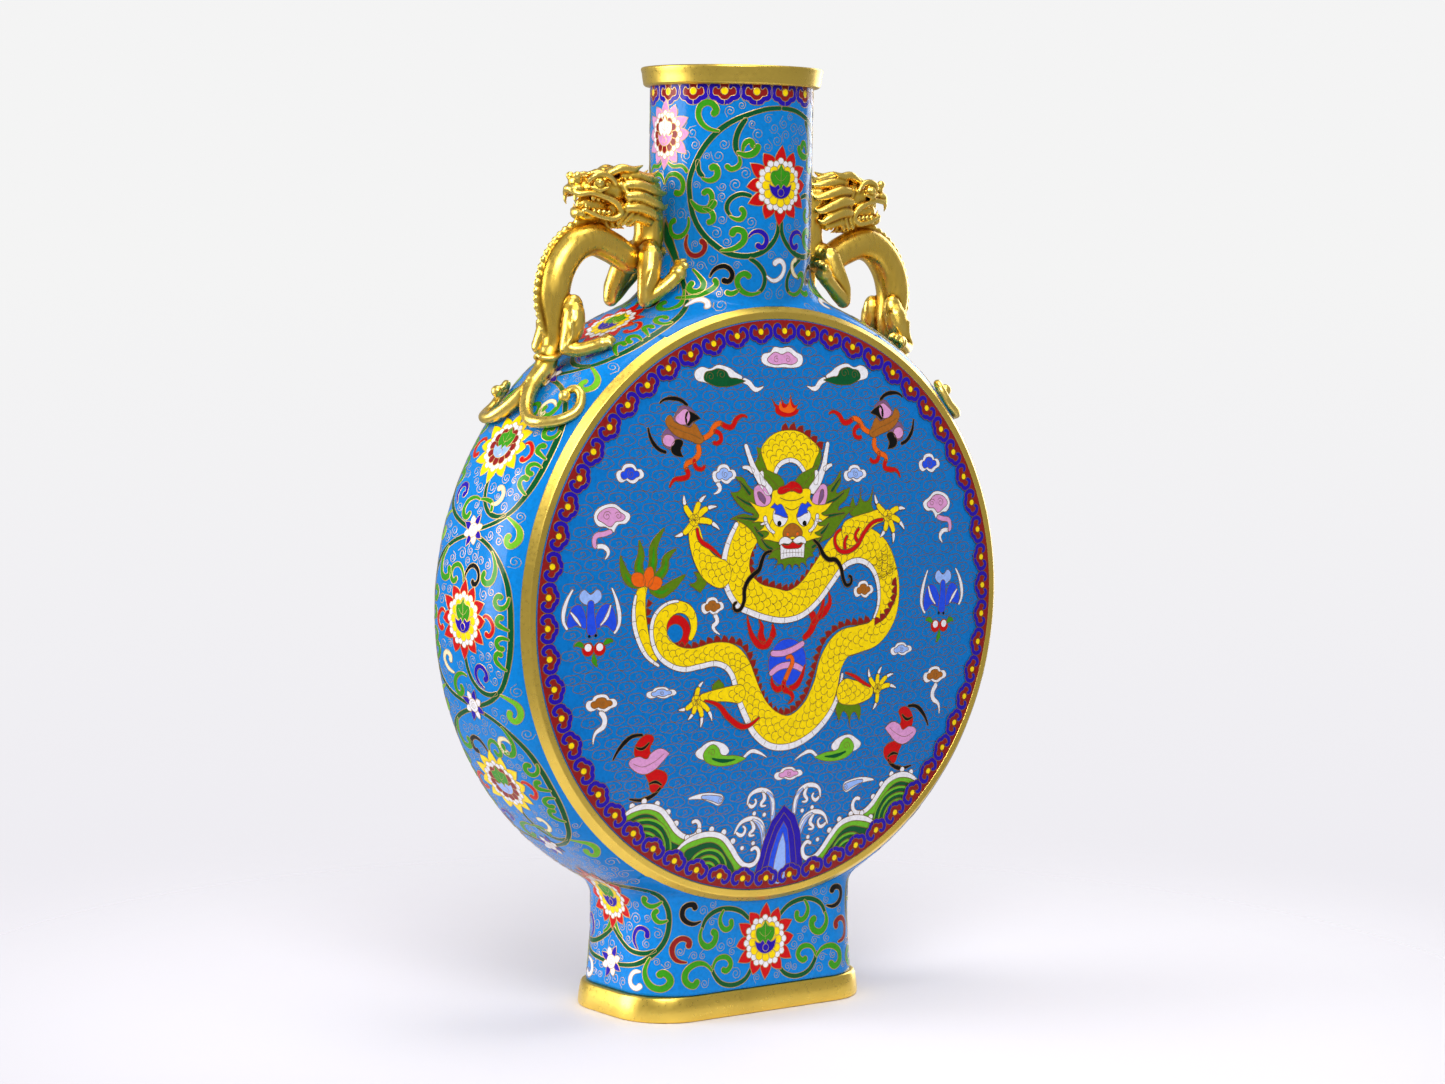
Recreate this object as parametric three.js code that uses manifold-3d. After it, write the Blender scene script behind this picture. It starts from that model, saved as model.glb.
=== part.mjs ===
// Cloisonne moon flask: an enamelled copper vase with a round flat body between two gilt rings,
// a round neck, an oblong foot and two gilt beast handles.
// Millimetres, +Z up. The origin is the centre of the foot on the surface that the vase stands on.
// The front panel looks towards -Y, and the two handles stand at -X and +X.

import * as THREE from 'three';
import { mergeVertices } from 'three/addons/utils/BufferGeometryUtils.js';
import Module from 'manifold-3d';

const wasm = await Module();
wasm.setup();

// ---------------------------------------------------------------- driving dimensions

const totalHeight = 500;
const wall = 2;                     // copper and enamel together
const gap = 0.3;                    // between neighbouring pieces

const drumHeight = 217.4;           // centre of the round body above the ground
const bandRadius = 167;             // outside of the side band at mid depth
const ringRadius = 158.35;          // outer edge of a gilt ring
const ringRidgeRadius = 154.7;      // bend between a ring's chamfer and its face
const ringInnerRadius = 151;
const ringEdgeDepth = 39.3;         // a ring's outer edge, measured from the mid plane
const ringRidgeDepth = 43.2;
const ringFaceDepth = 43.45;
const ringBackDepth = 36.5;
const domeRise = 12;                // the centre of a panel stands this far proud of its edge
const bandRounding = 4.5;           // power of the side band's rounded profile

const neckRadius = 43.3;
const neckFrontDepth = 40;          // half depth of the neck where it runs into the rings
const neckFillet = 30;
const neckOvalHeight = 376;         // below this the neck is at its flattest
const neckRoundHeight = 404;        // above this the neck is round
const neckTop = 489.6;
const rimRadius = 48.45;

const footHalfWidth = 77.2;
const footHalfDepth = 43.3;
const footCorner = 29.7;
const footRimHeight = 13.5;
const footWaist = { halfWidth: 70.7, halfDepth: 39.3, corner: 26 };
const footFillet = 12;
const footFlare = 2.3;              // how far the foot spreads from its waist to the ground
const footFlareHeight = 46;
const basePlateBottom = 6;
const basePlateThickness = 2;

const neckSeamAngle = 27;           // from +Z, where the neck's skirt meets the side bands
const footSeamAngle = 30;           // from -Z, where the foot's skirt meets them
const seamHalfAngle = 0.055;

const studRadius = 2.5;
const studLength = 15;
const nutRadius = 5;
const nutThickness = 4;
const nutSetback = 1.6;             // flat nuts stand off the curved wall inside
const neckStudHeight = 403;
const bandStudAngle = 45.5;         // from +Z around the centre of the round body

// ---------------------------------------------------------------- materials

const gilt = new THREE.MeshStandardMaterial({ color: 0xd9b13c, roughness: 0.3, metalness: 1 });
const blueEnamel = new THREE.MeshStandardMaterial({ color: 0x1583c8, roughness: 0.15, metalness: 0 });
const copper = new THREE.MeshStandardMaterial({ color: 0xa9673f, roughness: 0.5, metalness: 1 });

// ---------------------------------------------------------------- solids

function solidOf(geometry) {
  const bare = geometry.index ? geometry.clone() : geometry;
  bare.deleteAttribute('normal');
  bare.deleteAttribute('uv');
  const merged = mergeVertices(bare, 1e-4);
  return new wasm.Manifold(new wasm.Mesh({
    numProp: 3,
    vertProperties: new Float32Array(merged.attributes.position.array),
    triVerts: new Uint32Array(merged.index.array),
  }));
}

function geometryOf(solid) {
  const mesh = solid.getMesh();
  const geometry = new THREE.BufferGeometry();
  geometry.setAttribute('position', new THREE.BufferAttribute(new Float32Array(mesh.vertProperties), 3));
  geometry.setIndex(new THREE.BufferAttribute(new Uint32Array(mesh.triVerts), 1));
  geometry.computeVertexNormals();
  return geometry;
}

// A closed solid through a stack of rings with equally many points, capped by a fan at each end.
function loft(rings) {
  const count = rings[0].length;
  const points = rings.flat();
  const last = rings.length - 1;
  const centre = (ring) => ring.reduce((sum, point) => sum.add(point), new THREE.Vector3()).divideScalar(count);
  points.push(centre(rings[0]), centre(rings[last]));
  const start = points.length - 2;
  const end = points.length - 1;
  const index = [];
  for (let i = 0; i < count; i++) {
    const j = (i + 1) % count;
    for (let row = 0; row < last; row++) {
      const low = row * count;
      const high = low + count;
      index.push(low + i, low + j, high + j, low + i, high + j, high + i);
    }
    index.push(start, j, i, end, last * count + i, last * count + j);
  }
  const geometry = new THREE.BufferGeometry().setFromPoints(points);
  geometry.setIndex(index);
  return solidOf(geometry);
}

function lathe(profile, segments) {
  const closed = [...profile, profile[0]].map(([radius, height]) => new THREE.Vector2(radius, height));
  return solidOf(new THREE.LatheGeometry(closed, segments));
}

function rod(radius, length, sides) {
  return solidOf(new THREE.CylinderGeometry(radius, radius, length, sides));
}

function box(low, high) {
  const size = low.map((value, axis) => high[axis] - value);
  const geometry = new THREE.BoxGeometry(...size);
  geometry.translate(...low.map((value, axis) => value + size[axis] / 2));
  return solidOf(geometry);
}

function ball([x, y, z], [rx, ry, rz], tilt, grow) {
  const geometry = new THREE.SphereGeometry(1, 10, 7);
  geometry.scale(rx + grow, ry + grow, rz + grow);
  geometry.rotateY(THREE.MathUtils.degToRad(tilt));
  geometry.translate(x, y, z);
  return solidOf(geometry);
}

// A round bar through points [x, y, z, radius], smoothed between them and closed at both ends.
function bar(stations, sides, steps, grow) {
  const route = new THREE.CatmullRomCurve3(stations.map(([x, y, z]) => new THREE.Vector3(x, y, z)));
  const side = new THREE.Vector3(0, 1, 0);
  const rings = [];
  for (let step = 0; step <= steps; step++) {
    const along = step / steps;
    const station = along * (stations.length - 1);
    const before = Math.min(Math.floor(station), stations.length - 2);
    const radius = THREE.MathUtils.lerp(stations[before][3], stations[before + 1][3], station - before) + grow;
    const point = route.getPoint(along);
    const tangent = route.getTangent(along);
    side.addScaledVector(tangent, -side.dot(tangent)).normalize();
    const up = new THREE.Vector3().crossVectors(tangent, side);
    const ring = [];
    for (let i = 0; i < sides; i++) {
      const angle = 2 * Math.PI * i / sides;
      ring.push(point.clone()
        .addScaledVector(side, radius * Math.cos(angle))
        .addScaledVector(up, radius * Math.sin(angle)));
    }
    rings.push(ring);
  }
  return loft(rings);
}

// ---------------------------------------------------------------- the vase's skin

function smoothMin(a, b, width) {
  const overlap = Math.max(width - Math.abs(a - b), 0);
  return Math.min(a, b) - overlap * overlap / (4 * width);
}

function smoothStep(low, high, value) {
  const t = THREE.MathUtils.clamp((value - low) / (high - low), 0, 1);
  return t * t * (3 - 2 * t);
}

// Signed distance, near the skin, to a rounded rectangle.
function oblongDistance(x, y, { halfWidth, halfDepth, corner }) {
  const dx = Math.abs(x) - halfWidth + corner;
  const dy = Math.abs(y) - halfDepth + corner;
  return Math.hypot(Math.max(dx, 0), Math.max(dy, 0)) + Math.min(Math.max(dx, dy), 0) - corner;
}

function skinDistance(x, y, z) {
  const neckDepth = THREE.MathUtils.lerp(neckFrontDepth, neckRadius, smoothStep(neckOvalHeight, neckRoundHeight, z));
  const neck = (Math.hypot(x / neckRadius, y / neckDepth) - 1) * neckRadius + Math.max(drumHeight - z, 0);
  const drop = (bandRadius - ringRadius) * (Math.abs(y) / ringEdgeDepth) ** bandRounding;
  const drum = Math.hypot(x, z - drumHeight) - bandRadius + drop;
  const spread = footFlare * (1 - smoothStep(0, footFlareHeight, z));
  const foot = oblongDistance(x, y, footWaist) - spread + Math.max(z - drumHeight / 2, 0);
  const edge = Math.max(1 - (y / ringEdgeDepth) ** 2, 0);
  return smoothMin(smoothMin(neck, drum, 1 + neckFillet * edge), foot, 1 + footFillet * edge);
}

// Horizontal rings at the given heights, each point found along its own ray from the vase's axis.
function skinSolid(heights, count, offset) {
  const rings = heights.map((z) => {
    const wide = Math.max(neckRadius, Math.sqrt(Math.max(bandRadius ** 2 - (z - drumHeight) ** 2, 0)));
    const ring = [];
    for (let i = 0; i < count; i++) {
      const angle = 2 * Math.PI * (i + 0.5) / count;
      const ray = new THREE.Vector2(wide * Math.cos(angle), neckRadius * Math.sin(angle)).normalize();
      let inside = 4;
      let outside = 220;
      for (let step = 0; step < 40; step++) {
        const middle = (inside + outside) / 2;
        if (skinDistance(ray.x * middle, ray.y * middle, z) < offset) inside = middle;
        else outside = middle;
      }
      ring.push(new THREE.Vector3(ray.x * inside, ray.y * inside, z));
    }
    return ring;
  });
  return loft(rings);
}

const outerHeights = [
  footRimHeight + gap, 32, 52, 60, 66, 72, 82, 98, 125, 168, drumHeight,
  266, 309, 336, 352, 362, 368, 373, 378, 383, 389, 397, 405, neckTop,
];
const innerHeights = [0, 40, 58, 66, 80, 110, 160, drumHeight, 275, 325, 350, 364, 371, 378, 386, 400, totalHeight];
const vaseOuter = skinSolid(outerHeights, 36, 0);
const vaseGrown = skinSolid(outerHeights, 36, gap);
const vaseInner = skinSolid(innerHeights, 28, -wall);

// ---------------------------------------------------------------- neck, side bands and foot

const discCut = rod(ringRadius + gap + 0.2, 240, 72).translate([0, 0, drumHeight]);
const shell = vaseOuter.subtract(vaseInner).subtract(discCut);

// A wedge with its edge on the axis of the round body, opening upwards (1) or downwards (-1).
function wedge(direction, halfAngle) {
  const reach = 400;
  const half = THREE.MathUtils.degToRad(halfAngle);
  const shape = new THREE.Shape();
  shape.moveTo(0, 0);
  shape.lineTo(reach * Math.sin(half), direction * reach * Math.cos(half));
  shape.lineTo(-reach * Math.sin(half), direction * reach * Math.cos(half));
  const geometry = new THREE.ExtrudeGeometry(shape, { depth: 240, bevelEnabled: false });
  geometry.rotateX(Math.PI / 2);
  geometry.translate(0, 120, drumHeight);
  return solidOf(geometry);
}

const neckShell = shell.intersect(wedge(1, neckSeamAngle - seamHalfAngle));
const footShell = shell.intersect(wedge(-1, footSeamAngle - seamHalfAngle));
const bands = shell
  .subtract(wedge(1, neckSeamAngle + seamHalfAngle))
  .subtract(wedge(-1, footSeamAngle + seamHalfAngle));
const rightBand = bands.intersect(box([20, -100, 0], [250, 100, totalHeight]));

// ---------------------------------------------------------------- panels and rings

function panelProfile(facets) {
  const outside = [];
  const edge = ringInnerRadius - gap;
  for (let i = 0; i <= facets; i++) {
    const radius = edge * i / facets;
    outside.push([radius, ringFaceDepth + domeRise * (1 - (radius / ringInnerRadius) ** 2)]);
  }
  const inside = outside.map(([radius, depth]) => [radius, depth - wall]);
  return [...outside.reverse(), ...inside];
}

// Lathe solids stand on the Y axis: +Y of the profile faces the rear until it is turned.
const panel = lathe(panelProfile(4), 60);
const ring = lathe([
  [ringInnerRadius, ringFaceDepth],
  [ringInnerRadius, ringEdgeDepth],
  [ringRidgeRadius, ringBackDepth],
  [ringRadius, ringBackDepth],
  [ringRadius, ringEdgeDepth],
  [ringRidgeRadius, ringRidgeDepth],
], 60);
const toFront = (solid) => solid.rotate([0, 0, 180]).translate([0, 0, drumHeight]);
const toRear = (solid) => solid.translate([0, 0, drumHeight]);

// ---------------------------------------------------------------- mouth rim, foot rim and base plate

const mouthRim = lathe([
  [neckRadius + 2.6, neckTop + gap],
  [neckRadius + 3.8, neckTop + 1.2],
  [rimRadius - 0.5, totalHeight - 3.2],
  [rimRadius, totalHeight - 0.9],
  [rimRadius - 0.6, totalHeight],
  [neckRadius - wall + 0.8, totalHeight],
  [neckRadius - wall, totalHeight - 0.8],
  [neckRadius - wall, neckTop + gap],
], 40).rotate([90, 0, 0]);

function oblong(halfWidth, halfDepth, corner, z) {
  const ring = [];
  const perCorner = 9;
  for (let quarter = 0; quarter < 4; quarter++) {
    for (let i = 0; i < perCorner; i++) {
      const angle = (quarter + i / (perCorner - 1)) * Math.PI / 2;
      const signX = quarter === 0 || quarter === 3 ? 1 : -1;
      const signY = quarter < 2 ? 1 : -1;
      ring.push(new THREE.Vector3(
        signX * (halfWidth - corner) + corner * Math.cos(angle),
        signY * (halfDepth - corner) + corner * Math.sin(angle), z));
    }
  }
  return ring;
}

const rimInset = 7.2;
const footRim = loft([
  oblong(footHalfWidth, footHalfDepth, footCorner, 0),
  oblong(footHalfWidth - 1.5, footHalfDepth - 1.2, footCorner - 1.2, footRimHeight - 0.8),
  oblong(footHalfWidth - 2.3, footHalfDepth - 2, footCorner - 2, footRimHeight),
]).subtract(loft([
  oblong(footHalfWidth - rimInset, footHalfDepth - rimInset, footCorner - rimInset, -5),
  oblong(footHalfWidth - rimInset, footHalfDepth - rimInset, footCorner - rimInset, footRimHeight + 5),
]));
const plateInset = rimInset + gap;
const basePlate = loft([0, basePlateThickness].map((rise) => oblong(
  footHalfWidth - plateInset, footHalfDepth - plateInset, footCorner - plateInset, basePlateBottom + rise)));

// ---------------------------------------------------------------- one beast handle, at +X

// Every part of the beast can be grown, so that its neighbour is cut back to leave the gap.
const torso = (grow) => bar([
  [53, 0, 403.5, 8], [65, 0, 398.5, 7.6], [77, 0, 404.5, 8.2], [89, 0, 408.5, 8.6], [101, 0, 405, 9],
  [110, 0, 394.5, 9.2], [113.6, 0, 381, 9], [112, 0, 367, 7.6], [112.4, 0, 356, 5.6], [115.5, 0, 348.5, 4.8],
], 10, 17, grow).add(bar([
  [54.5, 0, 432, 7], [52.4, 0, 420, 6.4], [52, 0, 410, 6.8], [54, 0, 402, 8.2],
], 8, 4, grow));

const head = (grow) => ball([82, 0, 434], [16, 10.5, 9.6], 0, grow)
  .add(ball([96, 0, 434.2], [10.5, 8, 5.4], -8, grow))
  .add(ball([101, 0, 438.5], [4.4, 6.4, 4.2], 0, grow))
  .add(ball([88.5, 0, 422.6], [14.5, 7.6, 4.4], -4, grow))
  .add(ball([75, 0, 424], [9, 8.5, 8], 0, grow))
  .add(ball([65, 0, 431], [15.5, 13.5, 12.5], 0, grow));

const foreleg = (grow) => bar([
  [60, -9.5, 400, 5.6], [63, -13.5, 390, 5.2], [66, -15.5, 378.5, 4.2], [57, -18.5, 384, 3.6],
  [47.5, -20, 391.5, 3.8], [44.5, -20.3, 395.5, 3.4],
], 8, 8, grow);

const hindLeg = (grow) => bar([
  [107.5, -9.5, 369, 5.4], [109.5, -11.5, 362, 5.8], [114.6, -12.5, 352.6, 3.8], [107.5, -18, 352.4, 3.4],
  [100, -23.5, 354.6, 3.8], [97, -25.5, 354.8, 3.2],
], 8, 8, grow);

// A point over the side band: angle from +Z in degrees, depth and height above the band's mid radius.
function overBand(angle, depth, rise, radius) {
  const turn = THREE.MathUtils.degToRad(angle);
  const reach = bandRadius + rise;
  return [reach * Math.sin(turn), depth, drumHeight + reach * Math.cos(turn), radius];
}

const scroll = (side, grow) => bar([
  overBand(46.5, 0, 4.4, 4.4), overBand(49, side * 2.6, 4.2, 4), overBand(52, side * 8, 3.8, 3.7),
  overBand(54.2, side * 16.5, 3.8, 3.4), overBand(54.4, side * 26, 3.6, 3.2), overBand(52.6, side * 34, 2.6, 3),
  overBand(49.6, side * 37.6, 1.6, 2.8), overBand(47.2, side * 36, 2.2, 2.8), overBand(46.6, side * 31.5, 3.4, 3),
], 8, 15, grow);

const tail = (grow) => bar([
  [115.2, 0, 350.5, 5.4], [117.6, 0, 344, 6], [121.2, 0, 338, 5], overBand(47.4, 0, 4.8, 4.6),
], 8, 4, grow).add(scroll(-1, grow)).add(scroll(1, grow));

const mirrorDepth = (solid) => solid.scale([1, -1, 1]);

const neckStud = (grow) => rod(studRadius + grow, studLength + 2 * grow, 10).rotate([0, 0, 90])
  .translate([41.5, 0, neckStudHeight]);
const neckNut = rod(nutRadius, nutThickness, 6).rotate([0, 0, 90])
  .translate([neckRadius - wall - nutThickness / 2 - nutSetback, 0, neckStudHeight]).subtract(neckStud(gap));
const onBand = (solid, radius) => solid.rotate([90, 0, 0]).translate([0, 0, radius])
  .rotate([0, bandStudAngle, 0]).translate([0, 0, drumHeight]);
const bandStud = (grow) => onBand(rod(studRadius + grow, studLength + 2 * grow, 10), bandRadius - 2);
const bandNut = onBand(rod(nutRadius, nutThickness, 6), bandRadius - wall - nutThickness / 2 - nutSetback)
  .subtract(bandStud(gap));

const handleTorso = torso(0).subtract(vaseGrown).subtract(neckStud(gap));
const handleHead = head(0).subtract(torso(gap)).subtract(vaseGrown);
const handleForeleg = foreleg(0).subtract(torso(gap)).subtract(vaseGrown);
const handleHindLeg = hindLeg(0).subtract(torso(gap)).subtract(vaseGrown);
const handleTail = tail(0).subtract(torso(gap)).subtract(hindLeg(gap)).subtract(mirrorDepth(hindLeg(gap)))
  .subtract(vaseGrown).subtract(bandStud(gap));
const handle = {
  beast_torso: [handleTorso, gilt],
  beast_head: [handleHead, gilt],
  beast_front_foreleg: [handleForeleg, gilt],
  beast_rear_foreleg: [mirrorDepth(handleForeleg), gilt],
  beast_front_hind_leg: [handleHindLeg, gilt],
  beast_rear_hind_leg: [mirrorDepth(handleHindLeg), gilt],
  beast_tail: [handleTail, gilt],
  neck_stud: [neckStud(0), copper],
  neck_nut: [neckNut, copper],
  band_stud: [bandStud(0), copper],
  band_nut: [bandNut, copper],
};

// ---------------------------------------------------------------- the whole vase

const vase = new THREE.Group();

// Keeps the largest body of a solid, without the slivers that a cut can leave.
function largest(solid) {
  return solid.decompose().reduce((best, piece) => (piece.volume() > best.volume() ? piece : best));
}

function addPiece(name, solid, material) {
  const mesh = new THREE.Mesh(geometryOf(largest(solid)), material);
  mesh.name = name;
  vase.add(mesh);
}

const mirrorWidth = (solid) => solid.scale([-1, 1, 1]);
const studHoles = neckStud(gap).add(mirrorWidth(neckStud(gap)));
const bandWithHole = rightBand.subtract(bandStud(gap));

addPiece('mouth_rim', mouthRim, gilt);
addPiece('neck', neckShell.subtract(studHoles), blueEnamel);
addPiece('right_side_band', bandWithHole, blueEnamel);
addPiece('left_side_band', mirrorWidth(bandWithHole), blueEnamel);
addPiece('front_panel', toFront(panel), blueEnamel);
addPiece('rear_panel', toRear(panel), blueEnamel);
addPiece('front_ring', toFront(ring), gilt);
addPiece('rear_ring', toRear(ring), gilt);
addPiece('foot_wall', footShell, blueEnamel);
addPiece('foot_rim', footRim, gilt);
addPiece('base_plate', basePlate, copper);
for (const [name, [solid, material]] of Object.entries(handle)) {
  addPiece('right_' + name, solid, material);
  addPiece('left_' + name, mirrorWidth(solid), material);
}

export default vase;
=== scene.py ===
import math

import bmesh
import bpy
import numpy as np
from mathutils import Matrix, Vector


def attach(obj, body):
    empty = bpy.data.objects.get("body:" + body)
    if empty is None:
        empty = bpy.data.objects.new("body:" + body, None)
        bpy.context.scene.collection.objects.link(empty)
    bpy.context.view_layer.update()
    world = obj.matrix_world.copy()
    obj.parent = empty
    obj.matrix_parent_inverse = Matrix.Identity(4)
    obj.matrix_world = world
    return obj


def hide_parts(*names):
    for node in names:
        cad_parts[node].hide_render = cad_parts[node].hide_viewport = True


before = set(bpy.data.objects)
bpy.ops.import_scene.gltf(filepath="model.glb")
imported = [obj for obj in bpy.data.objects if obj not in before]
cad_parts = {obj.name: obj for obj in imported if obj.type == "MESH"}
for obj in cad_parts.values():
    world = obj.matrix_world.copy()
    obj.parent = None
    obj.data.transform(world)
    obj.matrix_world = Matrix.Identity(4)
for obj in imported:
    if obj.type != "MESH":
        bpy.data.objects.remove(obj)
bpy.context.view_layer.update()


# ------------------------------------------------------------------ camera
# The vase is seen from its front left and a little above the middle of the drum, with a long lens,
# so its upright lines stay upright.

MM = 0.001
DRUM_HEIGHT = 217.4 * MM            # centre of the round body above the ground
camera_turn = math.radians(-37.087)
camera_lift = math.radians(4.770)
camera_roll = math.radians(0.831)
camera_distance = 1.8624
camera_aim = Vector((-0.0018, 0.0, 0.24794))
camera_back = Vector((math.sin(camera_turn) * math.cos(camera_lift),
    -math.cos(camera_turn) * math.cos(camera_lift), math.sin(camera_lift)))
camera_right = Vector((0, 0, 1)).cross(camera_back).normalized()
camera_up = camera_back.cross(camera_right)
tilted_right = math.cos(camera_roll) * camera_right + math.sin(camera_roll) * camera_up
tilted_up = math.cos(camera_roll) * camera_up - math.sin(camera_roll) * camera_right
camera_data = bpy.data.cameras.new("camera")
camera_data.lens = 86.436
camera_data.sensor_width = 36
camera_data.clip_end = 30
camera = bpy.data.objects.new("camera", camera_data)
camera.matrix_world = (Matrix.Translation(camera_aim + camera_distance * camera_back) @
    Matrix((tilted_right, tilted_up, camera_back)).transposed().to_4x4())
bpy.context.scene.collection.objects.link(camera)
bpy.context.scene.camera = camera


# ------------------------------------------------------------------ studio floor and light
# A pale sweep under and behind the vase. Large soft lamps light it from the left, the right and above,
# and the room adds a weak, even white.

def new_object(name, mesh):
    piece = bpy.data.objects.new(name, mesh)
    bpy.context.scene.collection.objects.link(piece)
    return piece


def mesh_from(shape, name):
    mesh = bpy.data.meshes.new(name)
    shape.to_mesh(mesh)
    shape.free()
    for face in mesh.polygons:
        face.use_smooth = True
    return mesh


sweep = bmesh.new()
bmesh.ops.create_grid(sweep, x_segments=2, y_segments=2, size=1.5)
floor = new_object("floor", mesh_from(sweep, "floor"))
floor_paint = bpy.data.materials.new("floor_paint")
floor_paint.use_nodes = True
floor_shader = floor_paint.node_tree.nodes["Principled BSDF"]
floor_shader.inputs["Base Color"].default_value = (0.80, 0.775, 0.815, 1)
floor_shader.inputs["Roughness"].default_value = 0.55
floor_nodes = floor_paint.node_tree.nodes
floor_links = floor_paint.node_tree.links
floor_place = floor_nodes.new("ShaderNodeTexCoord")
floor_reach = floor_nodes.new("ShaderNodeVectorMath")
floor_reach.operation = "LENGTH"
floor_links.new(floor_place.outputs["Object"], floor_reach.inputs[0])
floor_fade = floor_nodes.new("ShaderNodeMapRange")
floor_fade.interpolation_type = "SMOOTHSTEP"
floor_fade.inputs["From Min"].default_value = 0.12
floor_fade.inputs["From Max"].default_value = 0.62
floor_links.new(floor_reach.outputs["Value"], floor_fade.inputs["Value"])
clear_floor = floor_nodes.new("ShaderNodeBsdfTransparent")
fade_out = floor_nodes.new("ShaderNodeMixShader")
floor_links.new(floor_fade.outputs["Result"], fade_out.inputs["Fac"])
floor_links.new(floor_shader.outputs["BSDF"], fade_out.inputs[1])
floor_links.new(clear_floor.outputs["BSDF"], fade_out.inputs[2])
floor_links.new(fade_out.outputs["Shader"], floor_nodes["Material Output"].inputs["Surface"])
floor.data.materials.append(floor_paint)

room = bpy.data.worlds.new("room")
room.use_nodes = True
room_nodes = room.node_tree.nodes
room_links = room.node_tree.links
backdrop = room_nodes.new("ShaderNodeBackground")
picture_place = room_nodes.new("ShaderNodeTexCoord")
picture_height = room_nodes.new("ShaderNodeSeparateXYZ")
room_links.new(picture_place.outputs["Window"], picture_height.inputs["Vector"])
# The backdrop the camera sees is painted darker and cooler towards the bottom of the picture, as painted
# shade on the sweep.
backdrop_painted_shade = room_nodes.new("ShaderNodeValToRGB")
backdrop_painted_shade.color_ramp.elements[0].color = (0.845, 0.825, 0.885, 1)
backdrop_painted_shade.color_ramp.elements[1].color = (0.905, 0.905, 0.905, 1)
backdrop_painted_shade.color_ramp.elements[1].position = 0.75
room_links.new(picture_height.outputs["Y"], backdrop_painted_shade.inputs["Fac"])
room_links.new(backdrop_painted_shade.outputs["Color"], backdrop.inputs["Color"])
room_nodes["Background"].inputs["Color"].default_value = (0.96, 0.97, 1.0, 1)
room_nodes["Background"].inputs["Strength"].default_value = 0.36
sight = room_nodes.new("ShaderNodeLightPath")
pick_backdrop = room_nodes.new("ShaderNodeMixShader")
room_links.new(sight.outputs["Is Camera Ray"], pick_backdrop.inputs["Fac"])
room_links.new(room_nodes["Background"].outputs["Background"], pick_backdrop.inputs[1])
room_links.new(backdrop.outputs["Background"], pick_backdrop.inputs[2])
room_links.new(pick_backdrop.outputs["Shader"], room_nodes["World Output"].inputs["Surface"])
bpy.context.scene.world = room


def soft_lamp(name, place, aim, size, power):
    data = bpy.data.lights.new(name, "AREA")
    data.shape = "RECTANGLE"
    data.size, data.size_y = size
    data.energy = power
    lamp = bpy.data.objects.new(name, data)
    lamp.location = place
    lamp.rotation_euler = (Vector(aim) - Vector(place)).to_track_quat("-Z", "Y").to_euler()
    bpy.context.scene.collection.objects.link(lamp)


vase_middle = (0, 0, 0.25)
soft_lamp("key_softbox", (-1.1, -1.9, 2.0), vase_middle, (1.5, 1.2), 58)
soft_lamp("left_wall", (-2.1, 1.2, 0.8), vase_middle, (1.4, 1.8), 56)
soft_lamp("right_wall", (2.2, 0.9, 0.7), vase_middle, (1.2, 1.8), 22)
soft_lamp("top_softbox", (0.3, -0.2, 2.4), vase_middle, (1.2, 1.2), 18)
bpy.context.scene.view_settings.view_transform = "Standard"


# ------------------------------------------------------------------ enamel and gilding
# Vitreous enamel: coloured glass fired in the cells and polished, with a faint clouding.
# Gilding: brushed copper alloy under a thin gold layer; on the castings the hollows are painted darker, as
# painted shade.

def principled(name):
    material = bpy.data.materials.new(name)
    material.use_nodes = True
    nodes = material.node_tree.nodes
    return material, nodes, material.node_tree.links, nodes["Principled BSDF"]


def noise(nodes, links, coordinates, scale, detail, stretch=(1, 1, 1)):
    mapping = nodes.new("ShaderNodeMapping")
    mapping.inputs["Scale"].default_value = stretch
    links.new(coordinates.outputs["Object"], mapping.inputs["Vector"])
    texture = nodes.new("ShaderNodeTexNoise")
    texture.inputs["Scale"].default_value = scale
    texture.inputs["Detail"].default_value = detail
    links.new(mapping.outputs["Vector"], texture.inputs["Vector"])
    return texture


def ramp(nodes, links, source, stops, target):
    """Leads a value through a run of tones to the socket it drives."""
    blend = nodes.new("ShaderNodeValToRGB")
    blend.color_ramp.elements[0].position, blend.color_ramp.elements[0].color = stops[0]
    blend.color_ramp.elements[1].position, blend.color_ramp.elements[1].color = stops[-1]
    for position, color in stops[1:-1]:
        blend.color_ramp.elements.new(position).color = color
    links.new(source, blend.inputs["Fac"])
    links.new(blend.outputs["Color"], target)


def raise_by(nodes, links, shader, texture, strength, distance):
    """Lets a texture stand up very slightly from the surface."""
    bump = nodes.new("ShaderNodeBump")
    bump.inputs["Strength"].default_value = strength
    bump.inputs["Distance"].default_value = distance
    links.new(texture.outputs["Fac"], bump.inputs["Height"])
    links.new(bump.outputs["Normal"], shader.inputs["Normal"])


def shade(color, factor):
    return tuple(min(1.0, channel * factor) for channel in color) + (1,)


def enamel(name, color, deep=0.86, light=1.08, cloud_scale=520):
    """Glossy glass of one colour, clouded by its fired grains and faintly rippled."""
    material, nodes, links, shader = principled("enamel_" + name)
    coordinates = nodes.new("ShaderNodeTexCoord")
    grains = noise(nodes, links, coordinates, cloud_scale, 4)
    ramp(nodes, links, grains.outputs["Fac"], [(0.30, shade(color, deep)), (0.5, shade(color, 1)),
        (0.72, shade(color, light))], shader.inputs["Base Color"])
    ramp(nodes, links, grains.outputs["Fac"], [(0.3, (0.2, 0.2, 0.2, 1)), (0.7, (0.11, 0.11, 0.11, 1))],
        shader.inputs["Roughness"])
    ripple = noise(nodes, links, coordinates, 90, 2)
    raise_by(nodes, links, shader, ripple, 0.1, 0.0004)
    shader.inputs["Specular IOR Level"].default_value = 0.16
    return material


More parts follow.
